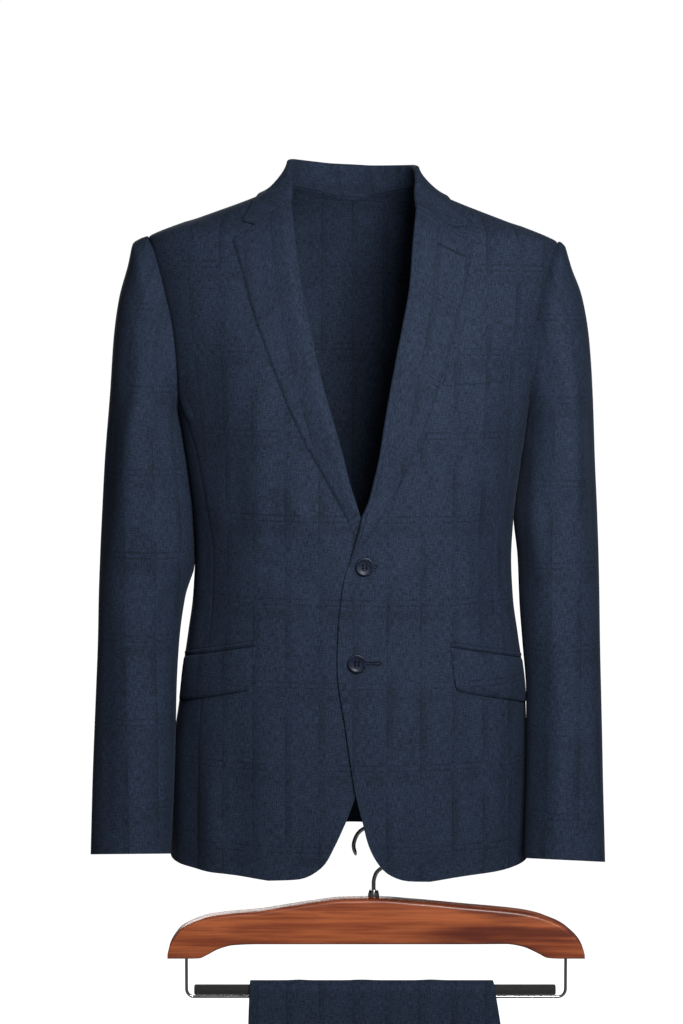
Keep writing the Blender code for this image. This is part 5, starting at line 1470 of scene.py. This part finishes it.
@dataclass(frozen=True)
class Collar:
    """Fall and stand in one band round the neck."""

    radius: float = 0.0012
    wall: float = 0.002
    thick: float = 0.0016
    # crest x, y, z, how far it has turned up from the lapel's roll, how hollow its fall is
    stations: Table = (
        (0.0675, -0.044, -0.025, 0.0, 0.0), (0.069, -0.033, -0.009, 0.35, 0.3),
        (0.0705, -0.017, 0.008, 0.75, 0.7), (0.07, 0.004, 0.019, 1.0, 1.6),
        (0.065, 0.029, 0.0205, 1.0, 1.1), (0.0455, 0.049, 0.019, 1.0, 0.7),
        (0.0225, 0.0597, 0.0172, 1.0, 0.5), (0.0, 0.0625, 0.0165, 1.0, 0.5))
    # the fall's edge at the last five stations: angle round the neck, height
    falls: Table = (
        (90.0, -0.016), (112.0, -0.0168), (136.0, -0.0188), (159.0, -0.0214), (180.0, -0.0225))
    tip_rise: Pair = (0.112, -0.033)
    clear_front: float = 0.0022
    clear: float = 0.0016
    close: float = 0.0019        # how much closer the fall's thin edge lies
    gorge_gap: float = 0.0006
    stand_lift: float = 0.0002
    crest_lean: float = 0.0008
    fall_room: float = 0.002
    sag: float = 0.005
    centre_y: float = 0.004
    fall_steps: int = 12
    turn_steps: int = 10
    stand_steps: int = 6
    between: int = 8

    def half(self, side: Side) -> Array:
        """Profiles [station, point] of one side, from the fall's edge over the crest to the seam."""
        cut = CUTS[side]
        notch = BODY.flat((cut.gorge[1],))[0] + (0, self.gorge_gap)
        edges = [notch, *BODY.flat((cut.tip, self.tip_rise))]
        edges += [np.array((math.radians(a), z)) for a, z in self.falls]
        neck = chain(sample(PANELS.front_neck(side), np.array((0, 0.38, 0.7, 1.0))),
                     sample(PANELS.nape(), np.linspace(0, 1, 5)))
        up_axis = np.array((0.0, 0.0, 1.0))
        far = self.radius + self.wall
        profiles = []
        for i, row in enumerate(self.stations):
            turn, z = edges[i]
            lift = (self.clear_front if i in (2, 3) else self.clear) + self.wall
            edge = BODY.above(turn, z, lift - (self.close if i else 0.0))
            seam = BODY.point(neck[i][0], neck[i][1])
            rise = BODY.normal(neck[i][0], neck[i][1])
            up_share, hollow = row[3:]
            if i == 0:
                seam = seam + self.gorge_gap * up_axis
                crest = seam + self.radius * rise - (self.crest_lean, 0.0, 0.0)
            else:
                crest = np.array(row[:3])
                if side is Side.LEFT:
                    crest[2] -= self.sag * crest[0] / self.stations[2][0]
            away = unit(np.array((crest[0], crest[1] - self.centre_y, 0.0)))
            up = unit((1 - up_share) * np.array((-1.0, 0.0, 0.0)) + up_share * up_axis)
            w = (1 - up_share) * rise + up_share * away
            w = unit(w - up * w.dot(up))
            end = seam - self.wall * (rise if i == 0 else w) + self.stand_lift * up_axis
            fall = crest + far * w
            n_mid = unit(w + BODY.normal(np.asarray(turn), np.asarray(z)))
            middle = 0.5 * (crest + self.radius * w + edge - self.wall * n_mid)
            control = ((1 - hollow) * middle + hollow * (seam + self.fall_room * (w + up))
                       + self.wall * n_mid)
            t = np.linspace(0, 1, self.fall_steps + 1)[:, None]
            over = (1 - t) ** 2 * edge + 2 * t * (1 - t) * control + t ** 2 * fall
            if i == 0:
                start = (cut.gorge[0][0] + PANELS.turn_room, cut.gorge[0][1])
                line = BODY.flat(along((start, cut.gorge[1]), self.fall_steps))[::-1]
                share = np.linspace(GORGE_STEPS / LAPEL_COLS, 0, self.fall_steps + 1)
                width = share * (cut.gorge[2][0] - start[0])
                over = BODY.above(line[:, 0], line[:, 1],
                                  LAPELS.rise(width, share, np.ones_like(share)))
                over = over + self.gorge_gap * up_axis
            a = np.linspace(0, math.pi, self.turn_steps + 1)[1:-1, None]
            crown = crest + far * (np.cos(a) * w + np.sin(a) * up)
            s = np.linspace(0, 1, self.stand_steps + 1)[:, None]
            stand = (1 - s) * (crest - far * w) + s * end
            profiles.append(np.concatenate([over, crown, stand]))
        made = np.array(profiles)
        if side is Side.RIGHT:
            made[..., 0] *= -1
        return made

    def collar(self) -> bpy.types.Object:
        """The whole collar, from gorge to gorge."""
        rough = np.concatenate([self.half(Side.LEFT), self.half(Side.RIGHT)[::-1][1:]])
        keys = np.arange(len(rough))
        fine = np.linspace(0, len(rough) - 1, (len(rough) - 1) * self.between + 1)
        flat = rough.reshape(len(rough), -1)
        face = np.stack([Curve(keys, flat[:, c])(fine) for c in range(flat.shape[1])], -1)
        face = face.reshape(len(fine), *rough.shape[1:])
        wide, long = np.gradient(face, axis=1), np.gradient(face, axis=0)
        out = unit(np.cross(long, wide))
        fall = len(fine) // 2, 2
        centre = np.array((0.0, self.centre_y, face[fall][2]))
        if out[fall].dot(face[fall] - centre) < 0:
            out = -out
        threads = np.stack([reach_along(face, 0), reach_along(face, 1)], -1)
        return cloth_piece("collar", face, threads, out, self.thick)


@dataclass(frozen=True)
class Pockets:
    """Flapped hip pockets with a jetting above, and the breast pocket's slanted welt."""

    front_x: float = 0.1047
    end: float = 81.0
    top: Pair = (-0.5015, -0.5235)
    low: Pair = (-0.54, -0.5735)
    corner: Table = ((0.1088, -0.54), (0.111, -0.548), (0.1205, -0.5524))
    jetting: float = 0.0052
    ditch: float = 0.0013
    rounded: float = 0.0013
    flap_lift: float = 0.0012
    flap_thick: float = 0.0018
    jetting_lift: float = 0.0012
    jetting_thick: float = 0.0016
    welt: Table = ((0.101, -0.1962), (0.1668, -0.1931), (0.1653, -0.2165), (0.094, -0.2205))
    welt_lift: float = 0.0002
    welt_thick: float = 0.0009
    flap_puff: float = 0.0008
    flap_tuck: float = 0.0024
    welt_puff: float = 0.0003
    puff_over: float = 0.012
    tuck_over: float = 0.0016
    above_ditch: float = 0.45     # share of its height that the cloth above the ditch keeps
    ditch_over: float = 0.0009
    ditch_deep: float = 0.0011
    ditch_wide: float = 0.0005
    rim: float = 0.42

    def lie(self, name: str, grid: Array, side: Side, lift: float, thick: float,
            puff: float = 0.0, tucked: float = 0.0, ditch: float = 0.0) -> bpy.types.Object:
        """Lays a patch of cloth on a panel.

        Args:
            name: the piece's name, which is its node's.
            grid: its outline's angles and heights [row, column].
            side: the side it lies on.
            lift: how far its under side lies off the panel.
            thick: its thickness.
            puff: how far its middle swells.
            tucked: how far its top edge dips under the piece above.
            ditch: how far below its top edge the seam that holds it is sunk.

        Returns:
            The piece.
        """
        turn, z = grid[..., 0] * side.value, grid[..., 1]
        bare = BODY.point(turn, z)
        across, down = reach_along(bare, 1), reach_along(bare, 0)
        inside = np.minimum(np.minimum(across, across[:, -1:] - across),
                            np.minimum(down, down[-1:] - down))
        out = lift + thick + puff * smooth(inside / self.puff_over)
        out = out - tucked * np.exp(-(down / self.tuck_over) ** 2)
        out = out - self.rounded * np.exp(-(inside / self.rounded) ** 2)
        if ditch:
            past = smooth((down - ditch) / self.ditch_over)
            out = out * (self.above_ditch + (1 - self.above_ditch) * past)
            out = out - self.ditch_deep * np.exp(-((down - ditch) / self.ditch_wide) ** 2)
        out = out + PANELS.relief(side, grid[..., 0], z)
        face = BODY.above(turn, z, out)
        return cloth_piece(name, face, BODY.threads(turn, z), BODY.normal(turn, z), thick, self.rim)

    def line(self, front: float, end: float) -> Array:
        """Slanted line from the flap's front to its end as angle and height."""
        start = float(BODY.front_turn(self.front_x, front))
        turn = np.linspace(start, math.radians(self.end), 9 * DENSE + 1)
        return np.stack([turn, front + (end - front) * (turn - turn[0]) / (turn[-1] - turn[0])], -1)

    def flap(self, side: Side) -> bpy.types.Object:
        """One hip flap with its rounded front corner."""
        top = self.line(*self.top)
        corner = BODY.flat(self.corner)
        inner = along((top[0], corner[0]), 3 * DENSE)
        rest = np.linspace(corner[2, 0], top[-1, 0], 7 * DENSE + 1)
        share = (rest - rest[0]) / (rest[-1] - rest[0])
        low = np.stack([rest, corner[2, 1] + (self.low[1] - corner[2, 1]) * share], -1)
        low = chain(along((corner[0], corner[1], low[0]), 2 * DENSE), low)
        outer = along((top[-1], low[-1]), 3 * DENSE)
        grid = blend((top, low, inner, outer), steps(56), steps(26))
        return self.lie(f"flap_{side.word}", grid, side, self.flap_lift, self.flap_thick,
                        self.flap_puff, self.flap_tuck)

    def strip(self, side: Side) -> bpy.types.Object:
        """The jetting above one flap."""
        rise = self.jetting + self.ditch
        low, up = self.line(*self.top), self.line(self.top[0] + rise, self.top[1] + rise)
        edges = (up, low, along((up[0], low[0]), DENSE), along((up[-1], low[-1]), DENSE))
        grid = blend(edges, steps(48), steps(24))
        return self.lie(f"jetting_{side.word}", grid, side, self.jetting_lift, self.jetting_thick,
                        self.flap_puff, ditch=self.ditch)

    def breast(self) -> bpy.types.Object:
        """The breast pocket's welt on the wearer's left."""
        grid = patch(BODY.flat(self.welt), 5, 1, steps(30), steps(10))
        return self.lie("welt_breast", grid, Side.LEFT, self.welt_lift, self.welt_thick, self.welt_puff)


@dataclass(frozen=True)
class Buttons:
    """Four-hole front buttons, their thread, and the worked holes beside them."""

    places: tuple[tuple[str, Pair, float], ...] = (
        ("button_top", (0.012, -0.4131), 0.0231), ("button_lower", (0.0038, -0.5179), 0.0275))
    lift: float = 0.0004
    # radius, height
    profile: Table = (
        (0.0, 0.0), (0.0062, 0.0), (0.0093, 0.0007), (0.01, 0.0014), (0.01, 0.0022), (0.0095, 0.0031),
        (0.0087, 0.0034), (0.0078, 0.0032), (0.007, 0.0026), (0.006, 0.0023), (0.004, 0.0022),
        (0.0, 0.0022))
    hole_radius: float = 0.0011
    hole_off: float = 0.0027
    thread: float = 0.0005
    thread_rise: float = 0.0007   # how far the thread arches over the button's middle
    thread_sink: float = 0.0016   # and how far it dips into the holes
    thread_past: float = 1.12     # its length as a share of the holes' distance
    slot_half: float = 0.0013
    slot_end: float = 0.004
    eye: float = 0.0019
    silk: float = 0.00055
    silk_lift: float = 0.0002
    flower_half: float = 0.0007
    flower_silk: float = 0.0004
    flower_sunk: float = 0.0001

    def frame(self, place: Pair) -> tuple[Array, Array, Array, Array]:
        """Middle of a button's foot, and its side, up and outward directions."""
        x, z = place
        turn = np.asarray(float(BODY.front_turn(x, z)))
        height = np.asarray(z)
        out = BODY.normal(turn, height)
        foot = lean(BODY.above(turn, height, PANELS.lap_out(turn, height) + self.lift))
        side = unit(np.cross((0.0, 0.0, 1.0), out))
        return foot, side, np.cross(out, side), out

    def button(self, name: str, place: Pair) -> bpy.types.Object:
        """One button, spun from its profile, with its four holes bored."""
        foot, side, up, out = self.frame(place)
        bm = bmesh.new()
        verts = [bm.verts.new(foot + r * side + h * out) for r, h in self.profile]
        edges = [bm.edges.new(pair) for pair in zip(verts, verts[1:])]
        bmesh.ops.spin(bm, geom=verts + edges, cent=foot, axis=out, angle=2 * math.pi, steps=64,
                       use_merge=True)
        bmesh.ops.remove_doubles(bm, verts=bm.verts[:], dist=WELD)
        bmesh.ops.recalc_face_normals(bm, faces=bm.faces[:])
        disc = settle(name + "_disc", bm, RESIN, (name,), 40.0)
        drill = bmesh.new()
        for k in range(4):
            a = math.pi / 4 + k * math.pi / 2
            middle = Vector(foot + self.hole_off * (math.cos(a) * side + math.sin(a) * up))
            turned = Vector(out).to_track_quat("Z", "Y").to_matrix().to_4x4()
            turned.translation = middle
            bmesh.ops.create_cone(drill, cap_ends=True, segments=20, radius1=self.hole_radius,
                                  radius2=self.hole_radius, depth=0.012, matrix=turned)
        bits = bpy.data.meshes.new("bits")
        drill.to_mesh(bits)
        drill.free()
        borer = bpy.data.objects.new("bits", bits)
        bpy.context.scene.collection.objects.link(borer)
        cut = disc.modifiers.new("holes", "BOOLEAN")
        cut.operation, cut.object = "DIFFERENCE", borer
        bpy.context.view_layer.update()
        seen = disc.evaluated_get(bpy.context.evaluated_depsgraph_get())
        bored = bpy.data.meshes.new_from_object(seen)
        disc.modifiers.clear()
        disc.data = bored
        bored.set_sharp_from_angle(angle=math.radians(40))
        bpy.data.objects.remove(borer)
        return disc

    def thread_bars(self, name: str, place: Pair) -> None:
        """The two stretches of thread that cross the button between its holes."""
        foot, side, up, out = self.frame(place)
        for k, across in enumerate((1.0, -1.0)):
            d = self.hole_off / math.sqrt(2)
            t = np.linspace(-1, 1, 13)
            height = (self.profile[-1][1] + self.thread_rise * (1 - t ** 4)
                      - self.thread_sink * np.abs(t) ** 8)
            path = (foot + across * d * side + (t * d * self.thread_past)[:, None] * up
                    + height[:, None] * out)
            tube(f"{name}_thread_{k + 1}", path, self.thread, 10, THREAD, ())

    def worked_hole(self, name: str, place: Pair, end_x: float) -> None:
        """The end of the buttonhole that shows beside the button, edged with silk."""
        x, z = place
        half, first, last = self.slot_half, x + self.slot_end, end_x - self.slot_end
        bend = np.linspace(-math.pi / 2, math.pi / 2, 13)
        eye = [(end_x + self.eye * math.cos(a), z + self.eye * math.sin(a)) for a in bend]
        p = along([(first, z - half), (last, z - half), *eye, (last, z + half), (first, z + half)], 80)
        turn = BODY.front_turn(p[:, 0], p[:, 1])
        path = lean(BODY.above(turn, p[:, 1], PANELS.lap_out(turn, p[:, 1]) + self.silk_lift))
        tube(f"{name}_worked_edge", path, self.silk, 10, THREAD, ())

    def flower_hole(self) -> None:
        """The lapel's worked hole on the wearer's left."""
        start, end = np.array(LAPELS.hole)
        run = unit(end - start)
        off = np.array((-run[1], run[0])) * self.flower_half
        middle = start + np.linspace(0, 1, 21)[:, None] * (end - start)
        loop = LAPELS.surface(Side.LEFT, np.concatenate([middle + off, (middle - off)[::-1]]),
                              -self.flower_sunk)
        tube("lapel_worked_hole", loop, self.flower_silk, 8, THREAD, (), closed=True)

    def make(self) -> None:
        """Makes every button with its thread and hole."""
        for name, place, end_x in self.places:
            self.button(name, place)
            self.thread_bars(name, place)
            self.worked_hole(name, place, end_x)
        self.flower_hole()


@dataclass(frozen=True)
class Hanger:
    """Wooden hanger with a bent wire that carries a sleeved bar, and a hook on a ferrule."""

    y: float = -0.07
    deep: float = 0.024
    bevel: float = 0.004
    # x, top edge, lower edge
    wood: Table = (
        (-0.204, -0.8465, -0.8521), (-0.2017, -0.8375, -0.8521), (-0.196, -0.827, -0.8521),
        (-0.188, -0.8178, -0.8521), (-0.1785, -0.8125, -0.8521), (-0.1687, -0.8085, -0.8517),
        (-0.1619, -0.8062, -0.8487), (-0.1466, -0.8035, -0.8409), (-0.131, -0.8017, -0.837),
        (-0.1047, -0.7995, -0.836), (-0.0761, -0.795, -0.836), (-0.0475, -0.7905, -0.836),
        (-0.0112, -0.7861, -0.836), (0.025, -0.7856, -0.836), (0.0655, -0.7883, -0.836),
        (0.1204, -0.7935, -0.836), (0.1684, -0.7979, -0.8358), (0.1849, -0.8, -0.8383),
        (0.204, -0.8042, -0.8465), (0.2136, -0.8078, -0.8513), (0.2277, -0.814, -0.8521),
        (0.239, -0.8225, -0.8521), (0.248, -0.832, -0.8521), (0.2528, -0.841, -0.8521),
        (0.2544, -0.847, -0.8521))
    wire: float = 0.00165
    bend: float = 0.0085
    wire_left: float = -0.1837
    wire_right: float = 0.2342
    wire_top: float = -0.8524
    wire_low: float = -0.89665
    tube_radius: float = 0.0059
    tube_left: float = -0.1752
    tube_right: float = 0.2233
    tube_z: float = -0.8888
    hook: float = 0.0022
    hook_x: float = 0.0225
    # x from the stem, height
    hook_rows: Table = (
        (0.0, -0.7764), (0.0, -0.769), (0.0025, -0.759), (0.0115, -0.75), (0.0195, -0.74),
        (0.022, -0.728), (0.019, -0.717), (0.011, -0.709), (0.0, -0.706), (-0.011, -0.709),
        (-0.019, -0.717), (-0.022, -0.728), (-0.0195, -0.7385))
    # height over its foot, radius
    ferrule: Table = (
        (0.0, 0.0058), (0.0004, 0.0062), (0.003, 0.0062), (0.0055, 0.0056), (0.0075, 0.005),
        (0.0085, 0.00465))
    # distance in from each end of the bar's sleeve, how much thinner it is there
    sleeve_end: Table = ((0.0, 0.0016), (0.0002, 0.0008), (0.0008, 0.0002), (0.0018, 0.0))
    hook_tip: tuple[float, ...] = (0.98, 0.9, 0.72, 0.4)
    gap: float = 0.0003

    def in_plane(self, path: Array) -> Array:
        """Points x, z in the hanger's plane."""
        return np.stack([path[:, 0], np.full(len(path), self.y), path[:, 1]], -1)

    def body(self) -> bpy.types.Object:
        """The wooden body, with all its edges rounded."""
        top, low = column(self.wood, 1), column(self.wood, 2)
        first, last = self.wood[0][0], self.wood[-1][0]
        t = np.linspace(0, math.pi, 181)
        x = (first + last) / 2 - (last - first) / 2 * np.cos(t)
        up, down = top(x), low(x)
        half = self.deep / 2
        bevel = np.minimum(self.bevel, (up - down) * 0.42)
        ring = []
        for corner, (sy, sz) in enumerate(((-1, -1), (1, -1), (1, 1), (-1, 1))):
            for a in np.linspace(0, math.pi / 2, 6):
                angle = math.radians((180, 270, 0, 90)[corner]) + a
                edge = down if sz < 0 else up
                ring.append(np.stack([x, self.y + sy * (half - bevel) + bevel * math.cos(angle),
                                      edge - sz * bevel + bevel * math.sin(angle)], -1))
        ring.append(ring[0])
        face = np.stack(ring, 1)
        middle = np.stack([x, np.full_like(x, self.y), (up + down) / 2], -1)[:, None]
        bm = shaped_grid(face, np.zeros((*face.shape[:2], 2)), face - middle)
        bmesh.ops.remove_doubles(bm, verts=bm.verts[:], dist=WELD)
        close_ends(bm, 40)
        round_edges(bm, 55.0, 0.001, 3)
        return drop_threads(settle("hanger_body", bm, WOOD, ("hanger_wood",), 60.0))

    def make(self) -> None:
        """Makes the whole hanger."""
        self.body()
        arc = np.linspace(0, math.pi / 2, 12)
        left = [(self.wire_left + self.bend * (1 - math.cos(a)),
                 self.wire_low + self.bend * (1 - math.sin(a))) for a in arc]
        right = [(self.wire_right - (x - self.wire_left), z) for x, z in left[::-1]]
        path = np.array([(self.wire_left, self.wire_top), *left, *right, (self.wire_right, self.wire_top)])
        tube("hanger_rod", self.in_plane(path), self.wire, 20, CHROME, ("hanger_wire",))
        ends, thinner = np.array(self.sleeve_end).T
        x = np.concatenate([self.tube_left + ends, self.tube_right - ends[::-1]])
        radius = self.tube_radius - np.concatenate([thinner, thinner[::-1]])
        bar = self.in_plane(np.stack([x, np.full_like(x, self.tube_z)], -1))
        tube("hanger_sleeve", bar, radius, 36, FELT, ("hanger_tube",))
        base = float(column(self.wood, 1)(self.hook_x)) + self.gap
        rise, girth = np.array(self.ferrule).T
        stem = np.stack([np.full_like(rise, self.hook_x), base + rise], -1)
        tube("hanger_collar", self.in_plane(stem), girth, 32, CHROME, ("hanger_ferrule",))
        hook = along([(self.hook_x + dx, z) for dx, z in self.hook_rows], 90)
        hook[0, 1] = base + rise[-1] + self.gap
        radius = np.full(len(hook), self.hook)
        radius[-len(self.hook_tip):] *= self.hook_tip
        tube("hanger_crook", self.in_plane(hook), radius, 20, CHROME, ("hanger_hook",))


@dataclass(frozen=True)
class Trousers:
    """Trousers pressed crease to crease and folded over the bar, the waist half in front."""

    # distance along the fold from the bar's top (+ to the front), left edge, right edge
    rows: Table = (
        (-0.62, -0.092, 0.102), (-0.52, -0.094, 0.106), (-0.35, -0.1, 0.118), (-0.2, -0.108, 0.135),
        (-0.05, -0.113, 0.15), (0.0, -0.1137, 0.1545), (0.045, -0.1154, 0.1615), (0.1, -0.1165, 0.17),
        (0.15, -0.1175, 0.18), (0.185, -0.118, 0.196), (0.21, -0.1185, 0.224), (0.24, -0.119, 0.252),
        (0.28, -0.1195, 0.262), (0.34, -0.12, 0.25), (0.4, -0.121, 0.226), (0.445, -0.122, 0.205))
    thick: float = 0.002         # both pressed layers of a leg
    layer: float = 0.0008
    rest: float = 0.0003
    around: int = 60
    band_top: float = 0.4445
    band_high: float = 0.04
    band_inset: float = 0.0006
    strip_thick: float = 0.0012
    strip_gap: float = 0.0004
    pocket_top: Pair = (-0.036, 0.398)
    pocket_low: Pair = (-0.004, 0.235)
    pocket_wide: float = 0.012
    # x, distance along the fold
    folds: tuple[Fold, ...] = fold_rows(
        (-0.06, -0.02, -0.058, 0.14, 0.009, 0.001), (0.01, -0.02, 0.004, 0.2, 0.012, 0.0012),
        (0.085, -0.02, 0.092, 0.16, 0.011, 0.0012), (0.12, 0.1, 0.175, 0.24, 0.012, 0.0014, 0.006),
        (-0.07, 0.2, -0.03, 0.36, 0.013, 0.001), (0.15, 0.27, 0.06, 0.4, 0.011, 0.0012, 0.005),
        (-0.02, -0.05, -0.015, -0.35, 0.012, 0.0012), (0.07, -0.05, 0.06, -0.4, 0.013, 0.0012),
        (-0.05, -0.3, -0.04, -0.58, 0.011, 0.001))

    def path(self, s: Array, radius: float) -> tuple[Array, Array]:
        """Points y, z and outward directions at distances s along a fold round the bar."""
        quarter = radius * math.pi / 2
        a = np.clip(s / radius, -math.pi / 2, math.pi / 2)
        past = np.maximum(np.abs(s) - quarter, 0)
        y = HANGER.y - radius * np.sin(a)
        z = HANGER.tube_z + radius * np.cos(a) - past
        return np.stack([y, z], -1), np.stack([-np.sin(a), np.cos(a)], -1)

    def leg(self, side: Side, inside: float) -> bpy.types.Object:
        """One pressed leg, a flattened tube of cloth that is open at its waist and its hem.

        Args:
            side: the wearer's side.
            inside: its nearer radius round the bar.

        Returns:
            The leg.
        """
        radius = inside + self.thick / 2
        arc = radius * math.pi / 2
        s = chain(np.linspace(self.rows[0][0], -arc, 70), np.linspace(-arc, arc, 22),
                  np.linspace(arc, self.rows[-1][0], 60))
        left, right = column(self.rows, 1)(s)[:, None], column(self.rows, 2)(s)[:, None]
        half = self.thick / 2
        t = np.linspace(-math.pi / 2, math.pi / 2, 9)
        flat = np.linspace(0, 1, self.around)[1:-1]
        level, none = np.ones(len(flat)), np.zeros(len(flat))
        x = np.concatenate([left + half + (right - left - 2 * half) * flat[None],
                            right - half + half * np.cos(t[::-1])[None],
                            right - half - (right - left - 2 * half) * flat[None],
                            left + half - half * np.cos(t)[None]], 1)
        off = half * np.concatenate([level, np.sin(t[::-1]), -level, np.sin(t)])
        aside = np.concatenate([none, np.cos(t[::-1]), none, -np.cos(t)])
        x, off, aside = np.concatenate([x, x[:, :1]], 1), np.append(off, off[0]), np.append(aside, aside[0])
        away = np.broadcast_to(off[None] / half, x.shape)
        off = np.broadcast_to(off[None], x.shape).copy()
        if side is Side.RIGHT:
            inner_edge = smooth(np.minimum(x - left, right - x) / 0.012)
            off += np.where(away > 0.99, pressed(self.folds, x, s[:, None] + 0 * x) * inner_edge, 0)
        middle, out = self.path(s, radius)
        face = np.stack([x, middle[:, :1] + off * out[:, :1], middle[:, 1:] + off * out[:, 1:]], -1)
        outwards = np.stack([np.broadcast_to(aside[None], x.shape), away * out[:, :1],
                             away * out[:, 1:]], -1)
        threads = np.stack([x, s[:, None] + 0 * x], -1)
        bm = shaped_grid(face, threads, outwards)
        bmesh.ops.remove_doubles(bm, verts=bm.verts[:], dist=WELD)
        thicken(bm, (face - self.layer * outwards).reshape(-1, 3), self.layer)
        return settle_cloth(f"leg_{side.word}", bm, 50.0)

    def strip(self, name: str, corners: Sequence[Pair], y: float, sign: int) -> bpy.types.Object:
        """Flat piece on a hanging leg between four corners x, s: two at its top, two at its foot."""
        quarter = (HANGER.tube_radius + self.rest + self.thick / 2) * math.pi / 2
        grid = patch(corners, 1, 1, steps(40), steps(10))
        out = y + sign * (self.strip_gap + self.strip_thick)
        face = np.stack([grid[..., 0], np.full(grid.shape[:2], out),
                         HANGER.tube_z - (grid[..., 1] - quarter)], -1)
        away = np.broadcast_to((0.0, float(sign), 0.0), face.shape)
        bm = shaped_grid(face, grid, away)
        bmesh.ops.solidify(bm, geom=bm.faces[:], thickness=self.strip_thick)
        bm.normal_update()
        round_edges(bm, 60.0, 0.0004)
        return settle_cloth(name, bm)

    def make(self) -> list[bpy.types.Object]:
        """Makes both legs, the waistband's halves and the pocket welts."""
        first = HANGER.tube_radius + self.rest
        second = first + self.thick + self.rest
        made = [self.leg(Side.LEFT, first), self.leg(Side.RIGHT, second)]
        left, right = column(self.rows, 1), column(self.rows, 2)
        high, low = self.band_top, self.band_top - self.band_high
        band = [(float(left(high)) + self.band_inset, high), (float(right(high)) - self.band_inset, high),
                (float(right(low)) - self.band_inset, low), (float(left(low)) + self.band_inset, low)]
        (x0, a), (x1, b) = self.pocket_top, self.pocket_low
        welt = [(x0, a), (x0 + self.pocket_wide, a), (x1 + self.pocket_wide, b), (x1, b)]
        front, back = HANGER.y - second - self.thick, HANGER.y - first
        for kind, corners in (("waistband", band), ("pocket", welt)):
            made.append(self.strip(f"{kind}_right", corners, front, -1))
            made.append(self.strip(f"{kind}_left", corners, back, 1))
        return made


HANGER = Hanger()


# ---- studio
@dataclass(frozen=True)
class Lamp:
    """One large soft lamp, aimed at a place."""

    name: str
    place: Triple
    aim: Triple
    size: float
    power: float

    def hang(self) -> None:
        """Puts the lamp in the studio."""
        data = bpy.data.lights.new(self.name, "AREA")
        data.shape, data.size, data.energy = "SQUARE", self.size, self.power
        lamp = bpy.data.objects.new(self.name, data)
        lamp.location = self.place
        way = Vector(self.aim) - Vector(self.place)
        lamp.rotation_euler = way.to_track_quat("-Z", "Y").to_euler()
        bpy.context.scene.collection.objects.link(lamp)


@dataclass(frozen=True)
class Studio:
    """Camera, pale floor and soft light."""

    lens: float = 104.4
    eye: Triple = (-0.0128, -3.2874, -0.0784)
    pitch: float = 5.0
    floor: float = -1.56
    ambient: float = 0.08
    lamps: tuple[Lamp, ...] = (
        Lamp("key", (0.34, -1.28, 0.12), (0.04, 0.0, -0.25), 0.5, 15.0),
        Lamp("fill", (0.9, -2.6, 1.2), (0.0, 0.0, -0.3), 1.0, 15.0),
        Lamp("behind", (-0.6, 2.8, 0.3), (0.0, 0.0, -0.4), 1.6, 28.0))

    def camera(self) -> None:
        """The camera, level with the chest and pitched down a little."""
        data = bpy.data.cameras.new("camera")
        data.lens = self.lens
        data.sensor_width = 36.0
        data.clip_end = 60.0
        eye = bpy.data.objects.new("camera", data)
        eye.location = self.eye
        eye.rotation_euler = (math.radians(90 - self.pitch), 0, 0)
        bpy.context.scene.collection.objects.link(eye)
        bpy.context.scene.camera = eye

    def room(self) -> None:
        """Floor, sky and lamps."""
        scene = bpy.context.scene
        scene.view_settings.view_transform = "Standard"
        world = bpy.data.worlds.new("studio")
        world.use_nodes = True
        w = Wiring(world.node_tree)
        seen = w.node("ShaderNodeLightPath").outputs["Is Camera Ray"]
        sky = world.node_tree.nodes["Background"]
        w.join(w.mix(seen, (self.ambient,) * 3, (1.0, 1.0, 1.0)), sky.inputs["Color"])
        scene.world = world
        bm = bmesh.new()
        bmesh.ops.create_grid(bm, x_segments=1, y_segments=1, size=30.0)
        mesh = bpy.data.meshes.new("floor")
        bm.to_mesh(mesh)
        bm.free()
        mesh.transform(Matrix.Translation((0.0, 0.0, self.floor)))
        pale = bpy.data.materials.new("floor")
        pale.use_nodes = True
        w = Wiring(pale.node_tree)
        shader = pale.node_tree.nodes["Principled BSDF"]
        w.plain(shader, {"Base Color": (0.5, 0.5, 0.5, 1), "Roughness": 0.9, "Emission Strength": 1.0})
        lit = w.mix(w.node("ShaderNodeLightPath").outputs["Is Camera Ray"], (0.0,) * 3, (1.0,) * 3)
        w.join(lit, shader.inputs["Emission Color"])
        mesh.materials.append(pale)
        floor = bpy.data.objects.new("floor", mesh)
        scene.collection.objects.link(floor)
        for lamp in self.lamps:
            lamp.hang()



def main() -> None:
    """Builds the studio and every piece of the suit."""
    logging.basicConfig(level=logging.INFO, format="%(message)s")
    studio = Studio()
    studio.camera()
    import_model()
    for side in Side:
        PANELS.front(side)
        PANELS.side(side)
        PANELS.back(side)
        LAPELS.lapel(side)
        for part in ("top", "under"):
            Sleeves().piece(side, part)
        Pockets().flap(side)
        Pockets().strip(side)
    Pockets().breast()
    Collar().collar()
    Buttons().make()
    HANGER.make()
    Trousers().make()
    studio.room()


if __name__ == "__main__":
    main()
